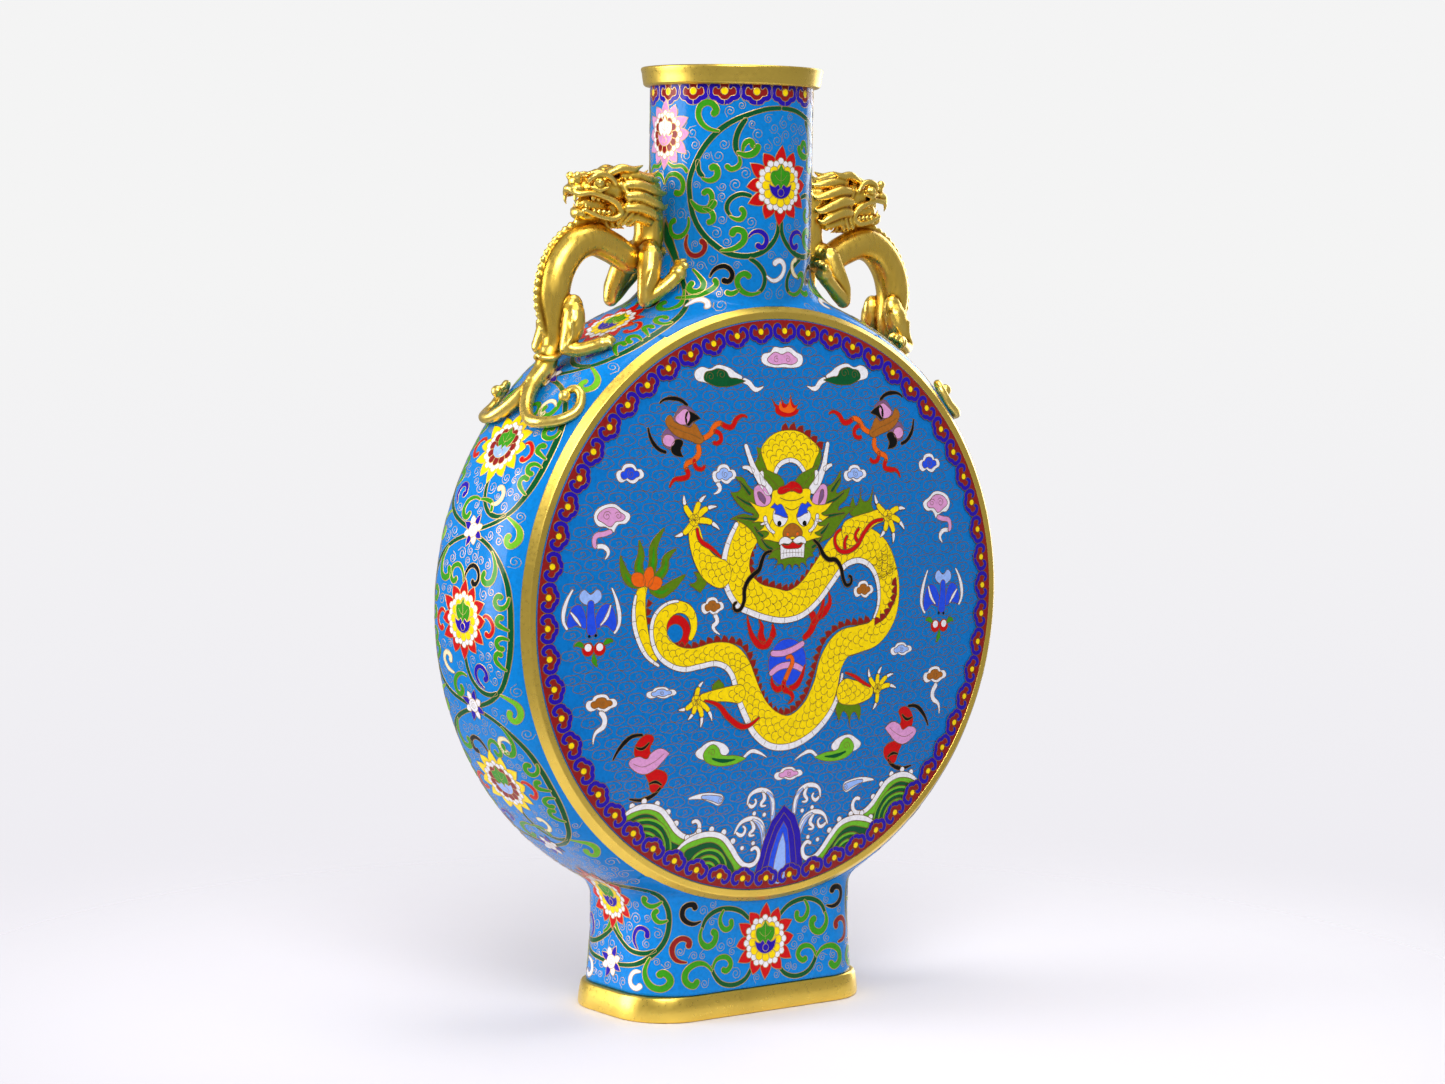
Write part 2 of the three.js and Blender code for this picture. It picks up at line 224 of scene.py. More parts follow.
enamel_colors = {
    "mid_blue": (0.0005, 0.165, 0.53),
    "sky_blue": (0.0015, 0.20, 0.60),
    "brick_red": (0.26, 0.010, 0.009),
    "bright_red": (0.56, 0.003, 0.004),
    "orange": (0.80, 0.12, 0.006),
    "yellow": (0.93, 0.67, 0.001),
    "white": (0.80, 0.78, 0.83),
    "cream": (0.82, 0.72, 0.45),
    "pink": (0.68, 0.30, 0.58),
    "violet": (0.20, 0.09, 0.21),
    "cobalt": (0.018, 0.004, 0.36),
    "royal_blue": (0.015, 0.07, 0.72),
    "pale_blue": (0.30, 0.46, 0.90),
    "dark_green": (0.001, 0.085, 0.022),
    "leaf_green": (0.035, 0.28, 0.008),
    "lime_green": (0.15, 0.46, 0.02),
    "moss_green": (0.10, 0.20, 0.004),
    "black": (0.003, 0.003, 0.003),
    "brown": (0.38, 0.12, 0.012),
}
enamels = {name: enamel(name, color) for name, color in enamel_colors.items()}


def gilding(name, color, tarnish=0.8, rough=(0.26, 0.36)):
    material, nodes, links, shader = principled(name)
    coordinates = nodes.new("ShaderNodeTexCoord")
    brushing = noise(nodes, links, coordinates, 500, 3)
    patches = noise(nodes, links, coordinates, 22, 3)
    ramp(nodes, links, patches.outputs["Fac"], [(0.25, shade(color, tarnish)), (0.5, shade(color, 0.97)),
        (0.8, shade(color, 1.06))], shader.inputs["Base Color"])
    ramp(nodes, links, brushing.outputs["Fac"], [(0.3, (rough[0],) * 3 + (1,)),
        (0.7, (rough[1],) * 3 + (1,))], shader.inputs["Roughness"])
    raise_by(nodes, links, shader, brushing, 0.1, 0.0002)
    shader.inputs["Metallic"].default_value = 1
    return material


gold_strip = gilding("gilded_strip", (0.92, 0.64, 0.11))
gold_cast = gilding("gilded_casting", (0.93, 0.61, 0.075), tarnish=0.62, rough=(0.2, 0.34))
gold_wire = gilding("gilded_wire", (0.60, 0.40, 0.15), rough=(0.35, 0.5))
# The panel wires are the same gilt as the others; their darker brown colour is painted shade.
panel_wire_painted_shade = gilding("panel_wire_painted_shade", (0.32, 0.18, 0.055), rough=(0.4, 0.55))


# ------------------------------------------------------------------ the enamelled wall
# Copper sheet raised to one flowing skin and enamelled sky blue: a round neck, a drum with a rounded
# edge and an oblong foot, brazed together where they meet.

BAND_RADIUS = 166.35 * MM
RING_RADIUS = 158.35 * MM
RING_EDGE_DEPTH = 39.3 * MM
NECK_RADIUS = 43.3 * MM
NECK_FRONT_DEPTH = 40 * MM
FOOT_HALF_WIDTH = 70.7 * MM
FOOT_HALF_DEPTH = 39.3 * MM
FOOT_CORNER = 26 * MM
NECK_TOP = 489.6 * MM
FOOT_RIM_TOP = 13.8 * MM


def smooth_min(a, b, width):
    overlap = np.maximum(width - np.abs(a - b), 0)
    return np.minimum(a, b) - overlap * overlap / (4 * width)


def smooth_step(low, high, value):
    t = np.clip((value - low) / (high - low), 0, 1)
    return t * t * (3 - 2 * t)


def skin_distance(x, y, z):
    """Signed distance, near the skin, to the vase's outer wall."""
    neck_depth = NECK_FRONT_DEPTH + (NECK_RADIUS - NECK_FRONT_DEPTH) * smooth_step(0.376, 0.404, z)
    neck = (np.hypot(x / NECK_RADIUS, y / neck_depth) - 1) * NECK_RADIUS + np.maximum(DRUM_HEIGHT - z, 0)
    drop = (BAND_RADIUS - RING_RADIUS) * (np.abs(y) / RING_EDGE_DEPTH) ** 4.5
    drum = np.hypot(x, z - DRUM_HEIGHT) - BAND_RADIUS + drop
    dx = np.abs(x) - FOOT_HALF_WIDTH + FOOT_CORNER
    dy = np.abs(y) - FOOT_HALF_DEPTH + FOOT_CORNER
    oblong = np.hypot(np.maximum(dx, 0), np.maximum(dy, 0)) + np.minimum(np.maximum(dx, dy),
        0) - FOOT_CORNER
    spread = 0.0023 * (1 - smooth_step(0, 0.046, z))
    foot = oblong - spread + np.maximum(z - DRUM_HEIGHT / 2, 0)
    edge = np.maximum(1 - (y / RING_EDGE_DEPTH) ** 2, 0)
    return smooth_min(smooth_min(neck, drum, 0.001 + 0.030 * edge), foot, 0.001 + 0.012 * edge)


def onto_skin(start, direction, low, high, lift):
    """Moves each start point along its direction to the skin, then off it by lift."""
    low = np.full(len(start), low)
    high = np.full(len(start), high)
    for _ in range(36):
        middle = (low + high) / 2
        point = start + direction * middle[:, None]
        inside = skin_distance(*point.T) < 0
        low = np.where(inside, middle, low)
        high = np.where(inside, high, middle)
    point = start + direction * low[:, None]
    step = 2e-5
    slope = np.stack([skin_distance(*(point + step * axis).T) - skin_distance(*(point - step * axis).T)
        for axis in np.eye(3)], 1)
    return point + slope / np.linalg.norm(slope, axis=1)[:, None] * lift[:, None]


def around_neck(flat):
    """flat: arc from the front at the neck's radius, height above the ground, lift off the skin."""
    turn = flat[:, 0] / NECK_RADIUS
    direction = np.stack([np.sin(turn), -np.cos(turn), 0 * turn], 1)
    start = np.stack([0 * turn, 0 * turn, flat[:, 1]], 1)
    return onto_skin(start, direction, 0.001, 0.22, flat[:, 2])


def along_band(flat):
    """flat: arc from the top at the band's radius (clockwise from the front is positive), depth, lift."""
    turn = flat[:, 0] / BAND_RADIUS
    direction = np.stack([np.sin(turn), 0 * turn, np.cos(turn)], 1)
    start = np.stack([0 * turn, flat[:, 1], 0 * turn + DRUM_HEIGHT], 1)
    return onto_skin(start, direction, 0.06, 0.26, flat[:, 2])


def foot_rays(along):
    """Where each ray leaves the foot's oblong, at a distance round it from the middle of the front."""
    straight = FOOT_HALF_WIDTH - FOOT_CORNER
    corner = FOOT_CORNER * math.pi / 2
    side = FOOT_HALF_DEPTH - FOOT_CORNER
    half = 2 * (straight + corner + side)
    distance = (along + half) % (2 * half) - half
    sign = np.where(distance < 0, -1.0, 1.0)
    run = np.abs(distance)
    rear = run > half / 2
    run = np.where(rear, half - run, run)
    turn = np.clip((run - straight) / FOOT_CORNER, 0, math.pi / 2)
    x = np.minimum(run, straight) + FOOT_CORNER * np.sin(turn)
    y = -side - FOOT_CORNER * np.cos(turn) + np.maximum(run - straight - corner, 0)
    face = np.where(rear, -1.0, 1.0)
    start = np.stack([sign * x, face * y, 0 * x], 1)
    return start, np.stack([sign * np.sin(turn), -face * np.cos(turn), 0 * turn], 1)


def around_foot(flat):
    """flat: distance round the foot from the middle of the front, height above the ground, lift."""
    start, direction = foot_rays(flat[:, 0])
    start[:, 2] = flat[:, 1]
    return onto_skin(start, direction, -0.006, 0.05, flat[:, 2])


def bend(mesh, wrap):
    """Bends a flat mesh, drawn in the X-Y plane with its lift in Z, over the vase."""
    flat = np.empty(len(mesh.vertices) * 3)
    mesh.vertices.foreach_get("co", flat)
    mesh.vertices.foreach_set("co", wrap(flat.reshape(-1, 3)).ravel())
    mesh.update()


def flat_sheet(columns, rows):
    """A flat grid from 0 to 1 both ways, facing +Z."""
    sheet = bmesh.new()
    bmesh.ops.create_grid(sheet, x_segments=columns, y_segments=rows, size=0.5)
    bmesh.ops.translate(sheet, verts=sheet.verts, vec=(0.5, 0.5, 0))
    return sheet


def enamel_skin(name, columns, rows, wrap, nodes_replaced):
    sheet = flat_sheet(columns, rows)
    mesh = mesh_from(sheet, name)
    bend(mesh, wrap)
    whole = bmesh.new()
    whole.from_mesh(mesh)
    bmesh.ops.remove_doubles(whole, verts=whole.verts, dist=1e-6)
    bmesh.ops.recalc_face_normals(whole, faces=whole.faces)
    outward = sum(f.normal.dot(f.calc_center_median() - Vector((0, 0,
        f.calc_center_median().z))) for f in whole.faces)
    if outward < 0:
        bmesh.ops.reverse_faces(whole, faces=whole.faces)
    whole.to_mesh(mesh)
    whole.free()
    piece = new_object(name, mesh)
    mesh.materials.append(enamels["sky_blue"])
    thick = piece.modifiers.new("copper_wall", "SOLIDIFY")
    thick.thickness = 0.0016
    thick.offset = -1
    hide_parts(*nodes_replaced)
    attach(piece, "root")


neck_seam = math.radians(27)
foot_seam = math.radians(30)


def edge_height(turn, start, heights, deepest):
    """The first of the heights at which each outward ray meets a ring's edge or a seam."""
    columns = len(turn)
    rows = len(heights)
    direction = np.repeat(turn, rows, axis=0)
    begin = np.repeat(start, rows, axis=0)
    begin[:, 2] = np.tile(heights, columns)
    x, _, z = onto_skin(begin, direction, deepest, 0.22, 0 * begin[:, 2]).T
    seam = np.where(z > DRUM_HEIGHT, neck_seam, foot_seam)
    over = (np.hypot(x, z - DRUM_HEIGHT) < RING_RADIUS - 0.0006)
    over |= np.arctan2(np.abs(x), np.abs(z - DRUM_HEIGHT)) > seam
    over = over.reshape(columns, rows)
    over[:, -1] = True
    return heights[np.argmax(over, axis=1)]


def neck_sheet(flat):
    arc = (flat[:, 0] - 0.5) * 2 * math.pi * NECK_RADIUS
    column, back = np.unique(np.round(arc, 7), return_inverse=True)
    turn = column / NECK_RADIUS
    outward = np.stack([np.sin(turn), -np.cos(turn), 0 * turn], 1)
    lowest = edge_height(outward, 0 * outward, np.arange(0.400, 0.358, -0.0002), 0.001)[back]
    down = (1 - flat[:, 1])
    middle = 0.404
    z = np.where(down < 0.3, NECK_TOP + (middle - NECK_TOP) * down / 0.3,
        middle + (lowest - middle) * ((down - 0.3) / 0.7))
    return around_neck(np.stack([arc, z, 0 * arc], 1))


def band_sheet(side):
    low_arc = neck_seam * BAND_RADIUS
    high_arc = (math.pi - foot_seam) * BAND_RADIUS
    depth = 39.5 * MM

    def wrap(flat):
        arc = side * (low_arc + (high_arc - low_arc) * flat[:, 0])
        return along_band(np.stack([arc, -np.cos(math.pi * flat[:, 1]) * depth, 0 * arc], 1))
    return wrap


enamel_skin("neck_skin", 168, 60, neck_sheet, ["neck"])
for side, word in ((1, "right"), (-1, "left")):
    enamel_skin(word + "_band_skin", 180, 40, band_sheet(side), [word + "_side_band"])


def foot_sheet(flat):
    straight = FOOT_HALF_WIDTH - FOOT_CORNER
    corner = FOOT_CORNER * math.pi / 2
    around = 4 * (straight + corner + FOOT_HALF_DEPTH - FOOT_CORNER)
    arc = (flat[:, 0] - 0.5) * around
    column, back = np.unique(np.round(arc, 7), return_inverse=True)
    start, outward = foot_rays(column)
    highest = edge_height(outward, start, np.arange(0.050, 0.090, 0.0002), -0.006)[back]
    z = FOOT_RIM_TOP + (highest - FOOT_RIM_TOP) * flat[:, 1]
    return around_foot(np.stack([arc, z, 0 * arc], 1))


enamel_skin("foot_skin", 200, 40, foot_sheet, ["foot_wall"])


# ------------------------------------------------------------------ the two panels
# Domed copper discs with a mid-blue enamel ground, one on each face of the drum.
# Each is let into its gilt ring and held there by the ring's lip.

PANEL_RADIUS = 151 * MM
PANEL_EDGE_DEPTH = 43.1 * MM
DOME_RISE = 11.5 * MM
panel_segments = 160
panel_rings = 26

for word, side in (("front", -1), ("rear", 1)):
    disc = bmesh.new()
    profile = [disc.verts.new((PANEL_RADIUS * i / panel_rings, 0, 0)) for i in range(panel_rings + 1)]
    for inner, outer in zip(profile, profile[1:]):
        disc.edges.new((inner, outer))
    bmesh.ops.spin(disc, geom=disc.verts[:] + disc.edges[:], axis=(0, 1, 0), cent=(0, 0, 0),
        angle=2 * math.pi, steps=panel_segments, use_merge=True)
    bmesh.ops.remove_doubles(disc, verts=disc.verts, dist=1e-6)
    for vertex in disc.verts:
        reach = math.hypot(vertex.co.x, vertex.co.z) / PANEL_RADIUS
        vertex.co.y = side * (PANEL_EDGE_DEPTH + DOME_RISE * (1 - reach * reach))
        vertex.co.z += DRUM_HEIGHT
    bmesh.ops.recalc_face_normals(disc, faces=disc.faces)
    if sum(face.normal.y for face in disc.faces) * side < 0:
        bmesh.ops.reverse_faces(disc, faces=disc.faces)
    panel = new_object(word + "_panel_enamel", mesh_from(disc, word + "_panel_enamel"))
    panel.data.materials.append(enamels["mid_blue"])
    thick = panel.modifiers.new("copper_wall", "SOLIDIFY")
    thick.thickness = 0.0016
    thick.offset = -1
    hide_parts(word + "_panel")
    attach(panel, "root")


# ------------------------------------------------------------------ cloison drawing
# Flat gilt wire is bent into outlines and soldered on edge; each cell is filled with one colour of enamel.
# The work is drawn flat, in millimetres, and laid over the curved wall.

LEVEL = 0.07            # each later cell sits this much prouder, in millimetres
WIRE = 0.5              # breadth of the polished wire, in millimetres


def flowing(points, closed=False, step=1.2):
    """A flowing line through a run of given points; a point with a third number stays sharp."""
    count = len(points)
    spots = [Vector(point[:2]) for point in points]
    sharp = [len(point) > 2 for point in points]
    line = []
    for i in range(count if closed else count - 1):
        j = (i + 1) % count
        a, b = spots[i], spots[j]
        chord = (b - a).length
        leave = None if sharp[i] or (not closed and i == 0) else (b - spots[i - 1]).normalized() * chord
        arrive = None if sharp[j] or (not closed and j == count - 1) else (spots[(j + 1) % count] -
            a).normalized() * chord
        if leave is None:
            leave = (b - a) * 1.5 - (arrive or b - a) * 0.5
        if arrive is None:
            arrive = (b - a) * 1.5 - leave * 0.5
        pieces = max(2, math.ceil(chord * 1.05 / step))
        for k in range(pieces):
            t = k / pieces
            line.append(a * (2 * t ** 3 - 3 * t ** 2 + 1) + leave * (t ** 3 - 2 * t ** 2 + t) + b * (3 * t
                ** 2 - 2 * t ** 3) + arrive * (t ** 3 - t ** 2))
    if not closed:
        line.append(spots[-1])
    return np.array([tuple(spot) for spot in line])


def rails(line, widths, closed=False):
    """The left and right edges of a band of the given widths along a line."""
    if closed:
        before, after = np.roll(line, 1, axis=0), np.roll(line, -1, axis=0)
    else:
        before = np.concatenate([2 * line[:1] - line[1:2], line[:-1]])
        after = np.concatenate([line[1:], 2 * line[-1:] - line[-2:-1]])
    into = line - before
    out = after - line
    into /= np.maximum(np.linalg.norm(into, axis=1), 1e-9)[:, None]
    out /= np.maximum(np.linalg.norm(out, axis=1), 1e-9)[:, None]
    along = into + out
    along /= np.maximum(np.linalg.norm(along, axis=1), 0.2)[:, None]
    lean = np.clip((along * into).sum(1), 0.65, 1)
    side = np.stack([-along[:, 1], along[:, 0]], 1) * (np.asarray(widths) / 2 / lean)[:, None]
    return line + side, line - side


class Work:
    """One region's cells and wires, drawn flat before they are laid on the wall."""

    def __init__(self, step=1.2):
        self.step = step
        self.cells = {}
        self.bands = {}
        self.wires = []
        self.at()

    def at(self, x=0, y=0, size=1, turn=0, flip=False):
        self.origin = np.array([x, y])
        self.size = size
        cos, sin = math.cos(math.radians(turn)) * size, math.sin(math.radians(turn)) * size
        mirror = -1 if flip else 1
        self.frame = np.array([[cos * mirror, sin * mirror], [-sin, cos]])
        return self

    def turn_over(self):
        """Draws what follows mirrored, left to right, about its own middle."""
        self.frame = self.frame * [[-1], [1]]

    def put(self, line):
        return line @ self.frame + self.origin

    def wire(self, points, level=0, width=WIRE, raw=False):
        line = np.asarray(points, float) if raw else flowing(points, False, self.step / self.size)
        self.wires.append((self.put(line), False, level, width))

    def cell(self, color, points, level=1, wired=True):
        line = flowing(points, True, self.step / self.size)
        self.cells.setdefault(color, []).append((self.put(line), level))
        if wired:
            self.wires.append((self.put(line), True, level, WIRE))

    def disc(self, color, x, y, radius, level=1, wired=True, squash=1):
        count = max(8, int(2 * math.pi * radius * self.size / self.step))
        turn = np.arange(count) * 2 * math.pi / count
        line = np.stack([x + radius * np.cos(turn), y + radius * squash * np.sin(turn)], 1)
        self.cells.setdefault(color, []).append((self.put(line), level))
        if wired:
            self.wires.append((self.put(line), True, level, WIRE))

    def stroke(self, color, points, widths, level=1, wired=True, ends=(True, True)):
        """A brushstroke-like cell along a line: widths in turn along it, each end round or pointed."""
        line = flowing(points, False, self.step / self.size)
        run = np.concatenate([[0], np.cumsum(np.linalg.norm(np.diff(line, axis=0), axis=1))])
        stations = np.linspace(0, run[-1], len(widths))
        for place, round_end, width in ((0, ends[0], widths[0]), (run[-1], ends[1], widths[-1])):
            if round_end:
                near = place + (width / 2) * np.array([0.06, 0.3, 0.65]) * (1 if place == 0 else -1)
                extra = np.stack([np.interp(near, run, line[:, axis]) for axis in (0, 1)], 1)
                order = np.argsort(np.concatenate([run, near]), kind="stable")
                line = np.concatenate([line, extra])[order]
                run = np.concatenate([run, near])[order]
        breadth = np.interp(run, stations, widths)
        for end, round_end in ((run, ends[0]), (run[-1] - run, ends[1])):
            half = np.maximum(breadth / 2, 1e-6)
            if round_end:
                breadth = breadth * np.sqrt(np.clip(1 - np.clip(1 - end / half, 0, 1) ** 2, 0.0004, 1))
        left, right = rails(line, breadth)
        self.bands.setdefault(color, []).append((self.put(left), self.put(right), level))
        if wired:
            self.wires.append((self.put(np.concatenate([left, right[::-1]])), True, level, WIRE))

    def spiral(self, x, y, radius, turns=1.4, start=0, hand=1, tail=0, level=0):
        """A wire curl, wound in from its rim, with an optional straight tail leading onto it."""
        count = 15
        share = np.linspace(0, 1, count)
        angle = math.radians(start) + hand * share * turns * 2 * math.pi
        reach = radius * (1 - 0.8 * share)
        line = np.stack([x + reach * np.cos(angle), y + reach * np.sin(angle)], 1)
        if tail:
            lead = line[0] - (line[1] - line[0]) / np.linalg.norm(line[1] - line[0]) * tail
            line = np.concatenate([[lead], line])
        self.wire(line, level, raw=True)


def add(whole, shape):
    """Pours one small mesh into a larger one."""
    scrap = bpy.data.meshes.new("scrap")
    shape.to_mesh(scrap)
    shape.free()
    whole.from_mesh(scrap)
    bpy.data.meshes.remove(scrap)


def chain(shape, lines, marks):
    """Strings edges along lines; marks remembers each new vertex's own numbers."""
    for line, closed, lift, extras in lines:
        verts = [shape.verts.new((x * MM, y * MM, lift * MM)) for x, y in line]
        for i in range(len(verts) - (0 if closed else 1)):
            shape.edges.new((verts[i], verts[(i + 1) % len(verts)]))
        marks.update(zip(verts, extras))


def widen(shape, marks, pick):
    """Draws every edge of the chains out sideways, once, to the marked places."""
    made = bmesh.ops.extrude_edge_only(shape,
        edges=[edge for edge in shape.edges if edge.verts[0] in marks and edge.verts[1] in marks])
    for vertex in made["geom"]:
        if isinstance(vertex, bmesh.types.BMVert):
            source = next(edge.other_vert(vertex) for edge in vertex.link_edges if edge.other_vert(vertex)
                in marks)
            x, y, lift = pick(marks[source])
            vertex.co = (x * MM, y * MM, lift * MM)


def face_up(shape):
    shape.normal_update()
    bmesh.ops.reverse_faces(shape, faces=[face for face in shape.faces if face.normal.z < 0])


def lay(work, name, wrap, grid, wire_metal):
    """Fills the cells, raises the wires, bends both over the wall; returns the finished pieces."""
    pieces = []
    for color in sorted(set(work.cells) | set(work.bands)):
        shape = bmesh.new()
        for line, level in work.cells.get(color, []):
            cell = bmesh.new()
            verts = [cell.verts.new((x * MM, y * MM, level * LEVEL * MM)) for x, y in line]
            edges = [cell.edges.new((verts[i - 1], verts[i])) for i in range(len(verts))]
            bmesh.ops.triangle_fill(cell, use_beauty=True, use_dissolve=False, edges=edges)
            add(shape, cell)
        marks = {}
        chain(shape, [(left, False, level * LEVEL,
            [(x, y, level * LEVEL) for x, y in right]) for left, right, level in work.bands.get(color, [])],
            marks)
        if marks:
            widen(shape, marks, lambda mark: mark)
        low = [min(vertex.co[axis] for vertex in shape.verts) for axis in (0, 1)]
        high = [max(vertex.co[axis] for vertex in shape.verts) for axis in (0, 1)]
        for axis, normal in ((0, (1, 0, 0)), (1, (0, 1, 0))):
            for cut in np.arange(math.ceil(low[axis] / grid) * grid, high[axis], grid):
                bmesh.ops.bisect_plane(shape, geom=shape.verts[:] + shape.edges[:] + shape.faces[:],
                    dist=1e-7, plane_co=(cut, cut, 0), plane_no=normal)
        face_up(shape)
        mesh = mesh_from(shape, name + "_" + color)
        mesh.materials.append(enamels[color])
        pieces.append(new_object(mesh.name, mesh))
    shape = bmesh.new()
    marks = {}
    lines = []
    for line, closed, level, width in work.wires:
        left, right = rails(line, np.full(len(line), width), closed)
        low = level * LEVEL - 0.06
        extras = [((a[0], a[1], low), (b[0], b[1], low)) for a, b in zip(left, right)]
        lines.append((line, closed, level * LEVEL + 0.065, extras))
    chain(shape, lines, marks)
    for side in (0, 1):
        widen(shape, marks, lambda mark: mark[side])
    face_up(shape)
    mesh = mesh_from(shape, name + "_wires")
    mesh.materials.append(wire_metal)
    pieces.append(new_object(mesh.name, mesh))
    for piece in pieces:
        bend(piece.data, wrap)
        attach(piece, "root")
    return pieces


def over_panel(flat):
    """flat: to the right and up from the middle of the front panel, and lift."""
    reach = np.hypot(flat[:, 0], flat[:, 1]) / PANEL_RADIUS
    depth = PANEL_EDGE_DEPTH + DOME_RISE * (1 - reach * reach) + flat[:, 2]
    return np.stack([flat[:, 0], -depth, flat[:, 1] + DRUM_HEIGHT], 1)


# ------------------------------------------------------------------ panel border
# Fifty-eight linked ruyi heads in cobalt enamel on brick red, just inside the ring.
# Their wires are soldered to the copper disc before the cells are filled.

art = Work()
border_heads = 58
circle = np.arange(180) * 2 * math.pi / 180
inner_edge = np.stack([np.sin(circle), np.cos(circle)], 1) * 146.4
outer_edge = np.stack([np.sin(circle), np.cos(circle)], 1) * 150.6
art.bands["brick_red"] = [(np.concatenate([inner_edge, inner_edge[:1]]), np.concatenate([outer_edge,
    outer_edge[:1]]), 7)]


def ruyi_head(work, level):
    """One head, point inwards (down) and lobes outwards (up), about its yellow dot."""
    work.cell("brick_red", [(-2.6, 4), (-5.2, 3.2), (-6.4, 1), (-5.4, -2.6), (-3, -3), (-2, -4.6), (0, -5),
        (2, -4.6), (3, -3), (5.4, -2.6), (6.4, 1), (5.2, 3.2), (2.6, 4)], level, wired=False)
    for _ in range(2):
        work.stroke("cobalt", [(0, -5.5), (2.3, -5), (3.5, -3.7), (5.4, -3.3), (6.6, -1.5), (6.3, 1),
            (4.7, 2.6), (2.9, 2), (2.9, 0.6)], [2.2, 2.4, 2.3, 2.5, 2.5, 2.3, 1.5], level + 1,
            ends=(False, True))
        work.turn_over()
    work.disc("yellow", 0, -0.4, 1.7, level + 2)


for i in range(border_heads):
    bearing = 1.34 + i * 360 / border_heads
    turn = math.radians(bearing)
    art.at(145.3 * math.sin(turn), 145.3 * math.cos(turn), turn=-bearing)
    ruyi_head(art, 7)


# ------------------------------------------------------------------ panel ground
# Rows of small cloud scrolls in bare gilt wire, soldered to the disc.
# They hold the blue enamel of the ground.

art.at()
lobes = np.linspace(math.radians(-100), math.radians(250), 20)
swell = 1 + 0.13 * np.abs(np.cos(2.5 * lobes + 0.4))
cloud_edge = np.stack([4.8 * swell * np.cos(lobes), 2.45 * swell * np.sin(lobes)], 1)
curl = np.radians([255, 330, 50, 130, 220])
curl_wire = np.stack([np.cos(curl), np.sin(curl)], 1) * np.array([2.1, 1.9, 1.6, 1.2, 0.8])[:, None] * (1.1,
    0.75)
scroll_wire = np.concatenate([cloud_edge, curl_wire])
row = 0
rng = np.random.default_rng(7)
for y in np.arange(-139, 140, 5.7):
    row += 1
    for x in np.arange(-144 + (row % 2) * 6.5, 145, 13):
        shift = rng.uniform(-0.7, 0.7, 2)
        if math.hypot(x, y) < 137.5:
            art.wire(scroll_wire * rng.uniform(0.98, 1.08) + (x, y) + shift, 0, 0.62, raw=True)


# ------------------------------------------------------------------ clouds, bats and waves on the panel
# Small lucky figures in enamel cells, set round the dragon above a sea with a rock in it.
# Most come in pairs, one turned over from the other.

def mirrored(draw, offset, rise=0):
    """The figure at the left, and its mirror image at the right."""
    art.at()
    draw()
    art.at(offset, rise, flip=True)
    draw()
    art.at()


def bat_with_ribbons():
    art.cell("violet", [(-71, 98), (-69, 102), (-65, 106.5), (-60, 106), (-56.5, 101), (-62, 95)], 1)
    art.cell("pink", [(-69, 99.5), (-66, 103.5), (-62, 105), (-60, 101), (-63, 97)], 2)
    art.cell("black", [(-62, 103.5), (-57, 102.5), (-53.5, 100, 0), (-58, 98.5), (-62, 96.5)], 2)
    art.stroke("black", [(-78, 108), (-75, 110), (-70, 110.5), (-65, 109.5), (-61, 106.5)], [0.8, 2.2, 1.6],
        1)
    art.cell("violet", [(-74, 95), (-77.5, 91), (-76, 86), (-70, 84.5), (-66.5, 88), (-68, 93)], 1)
    art.cell("pink", [(-75, 92), (-77, 88), (-72, 86), (-70, 90)], 2)
    art.cell("black", [(-70, 89), (-65, 88.5), (-66.5, 84), (-65, 80.5, 0), (-72, 83)], 2)
    art.stroke("black", [(-85.5, 96), (-84, 90), (-80, 85), (-75, 83)], [0.8, 2.2, 1.6], 1)
    art.cell("brown", [(-72, 102), (-69.5, 98.5), (-64, 96.5), (-60, 95.5), (-57.5, 97.5), (-54, 92.5),
        (-52, 89), (-55, 87), (-60, 88.5), (-69, 91.5), (-73, 95), (-75, 99)], 3)
    art.stroke("orange", [(-53, 89.5), (-48, 92), (-44.5, 96.5), (-40, 97.5)], [2.6, 3, 2.6], 2)
    art.stroke("bright_red", [(-41, 97.5), (-37.5, 95.5), (-34, 95.5), (-31, 99.5), (-27, 101.2),
        (-24, 100)], [2.8, 2.8, 1], 2)
    art.stroke("bright_red", [(-46, 93.5), (-42, 92), (-41.5, 88.5), (-44.5, 87), (-46.5, 88)],
        [2.4, 2.4, 2], 2)
    art.stroke("orange", [(-56, 87), (-55.5, 82), (-59, 78.5), (-63, 77), (-64, 74)], [2.8, 3, 2.4], 2)
    art.stroke("bright_red", [(-64, 75), (-62.5, 71), (-66, 69.5), (-71, 69), (-74, 65)], [2.6, 2.8, 0.9],
        2)
    art.stroke("bright_red", [(-58.5, 79.5), (-57.5, 75), (-54, 74), (-52, 76)], [2.2, 2.4, 1.8], 2)
    art.wire([(-73, 97), (-66, 94), (-58, 91.5), (-54, 89.5)], 3)


mirrored(bat_with_ribbons, 6.5, 1)


def green_cloud():
    art.cell("white", [(-55, 120), (-55.5, 124), (-51, 126.5), (-46, 125.5), (-41, 127.5), (-34, 126),
        (-30, 123.5), (-26, 120.5), (-34, 117), (-42, 116.5), (-50, 118.5)], 1)
    art.cell("dark_green", [(-50, 120), (-49, 123.5), (-45, 124.5), (-41, 125.5), (-36, 124), (-34, 121),
        (-30, 120.5), (-24, 119, 0), (-33, 116.5), (-42, 116.3), (-47, 118)], 2)
    art.stroke("white", [(-26, 119.5), (-22, 118), (-18, 114.5), (-12.5, 116)], [3, 3, 2.6, 0.6], 1)
    for x, y, radius in ((-46, 121.5, 2.6), (-39, 122.5, 2.9)):
        art.spiral(x, y, radius, 1.3, 200, -1, level=2)


mirrored(green_cloud, 4)


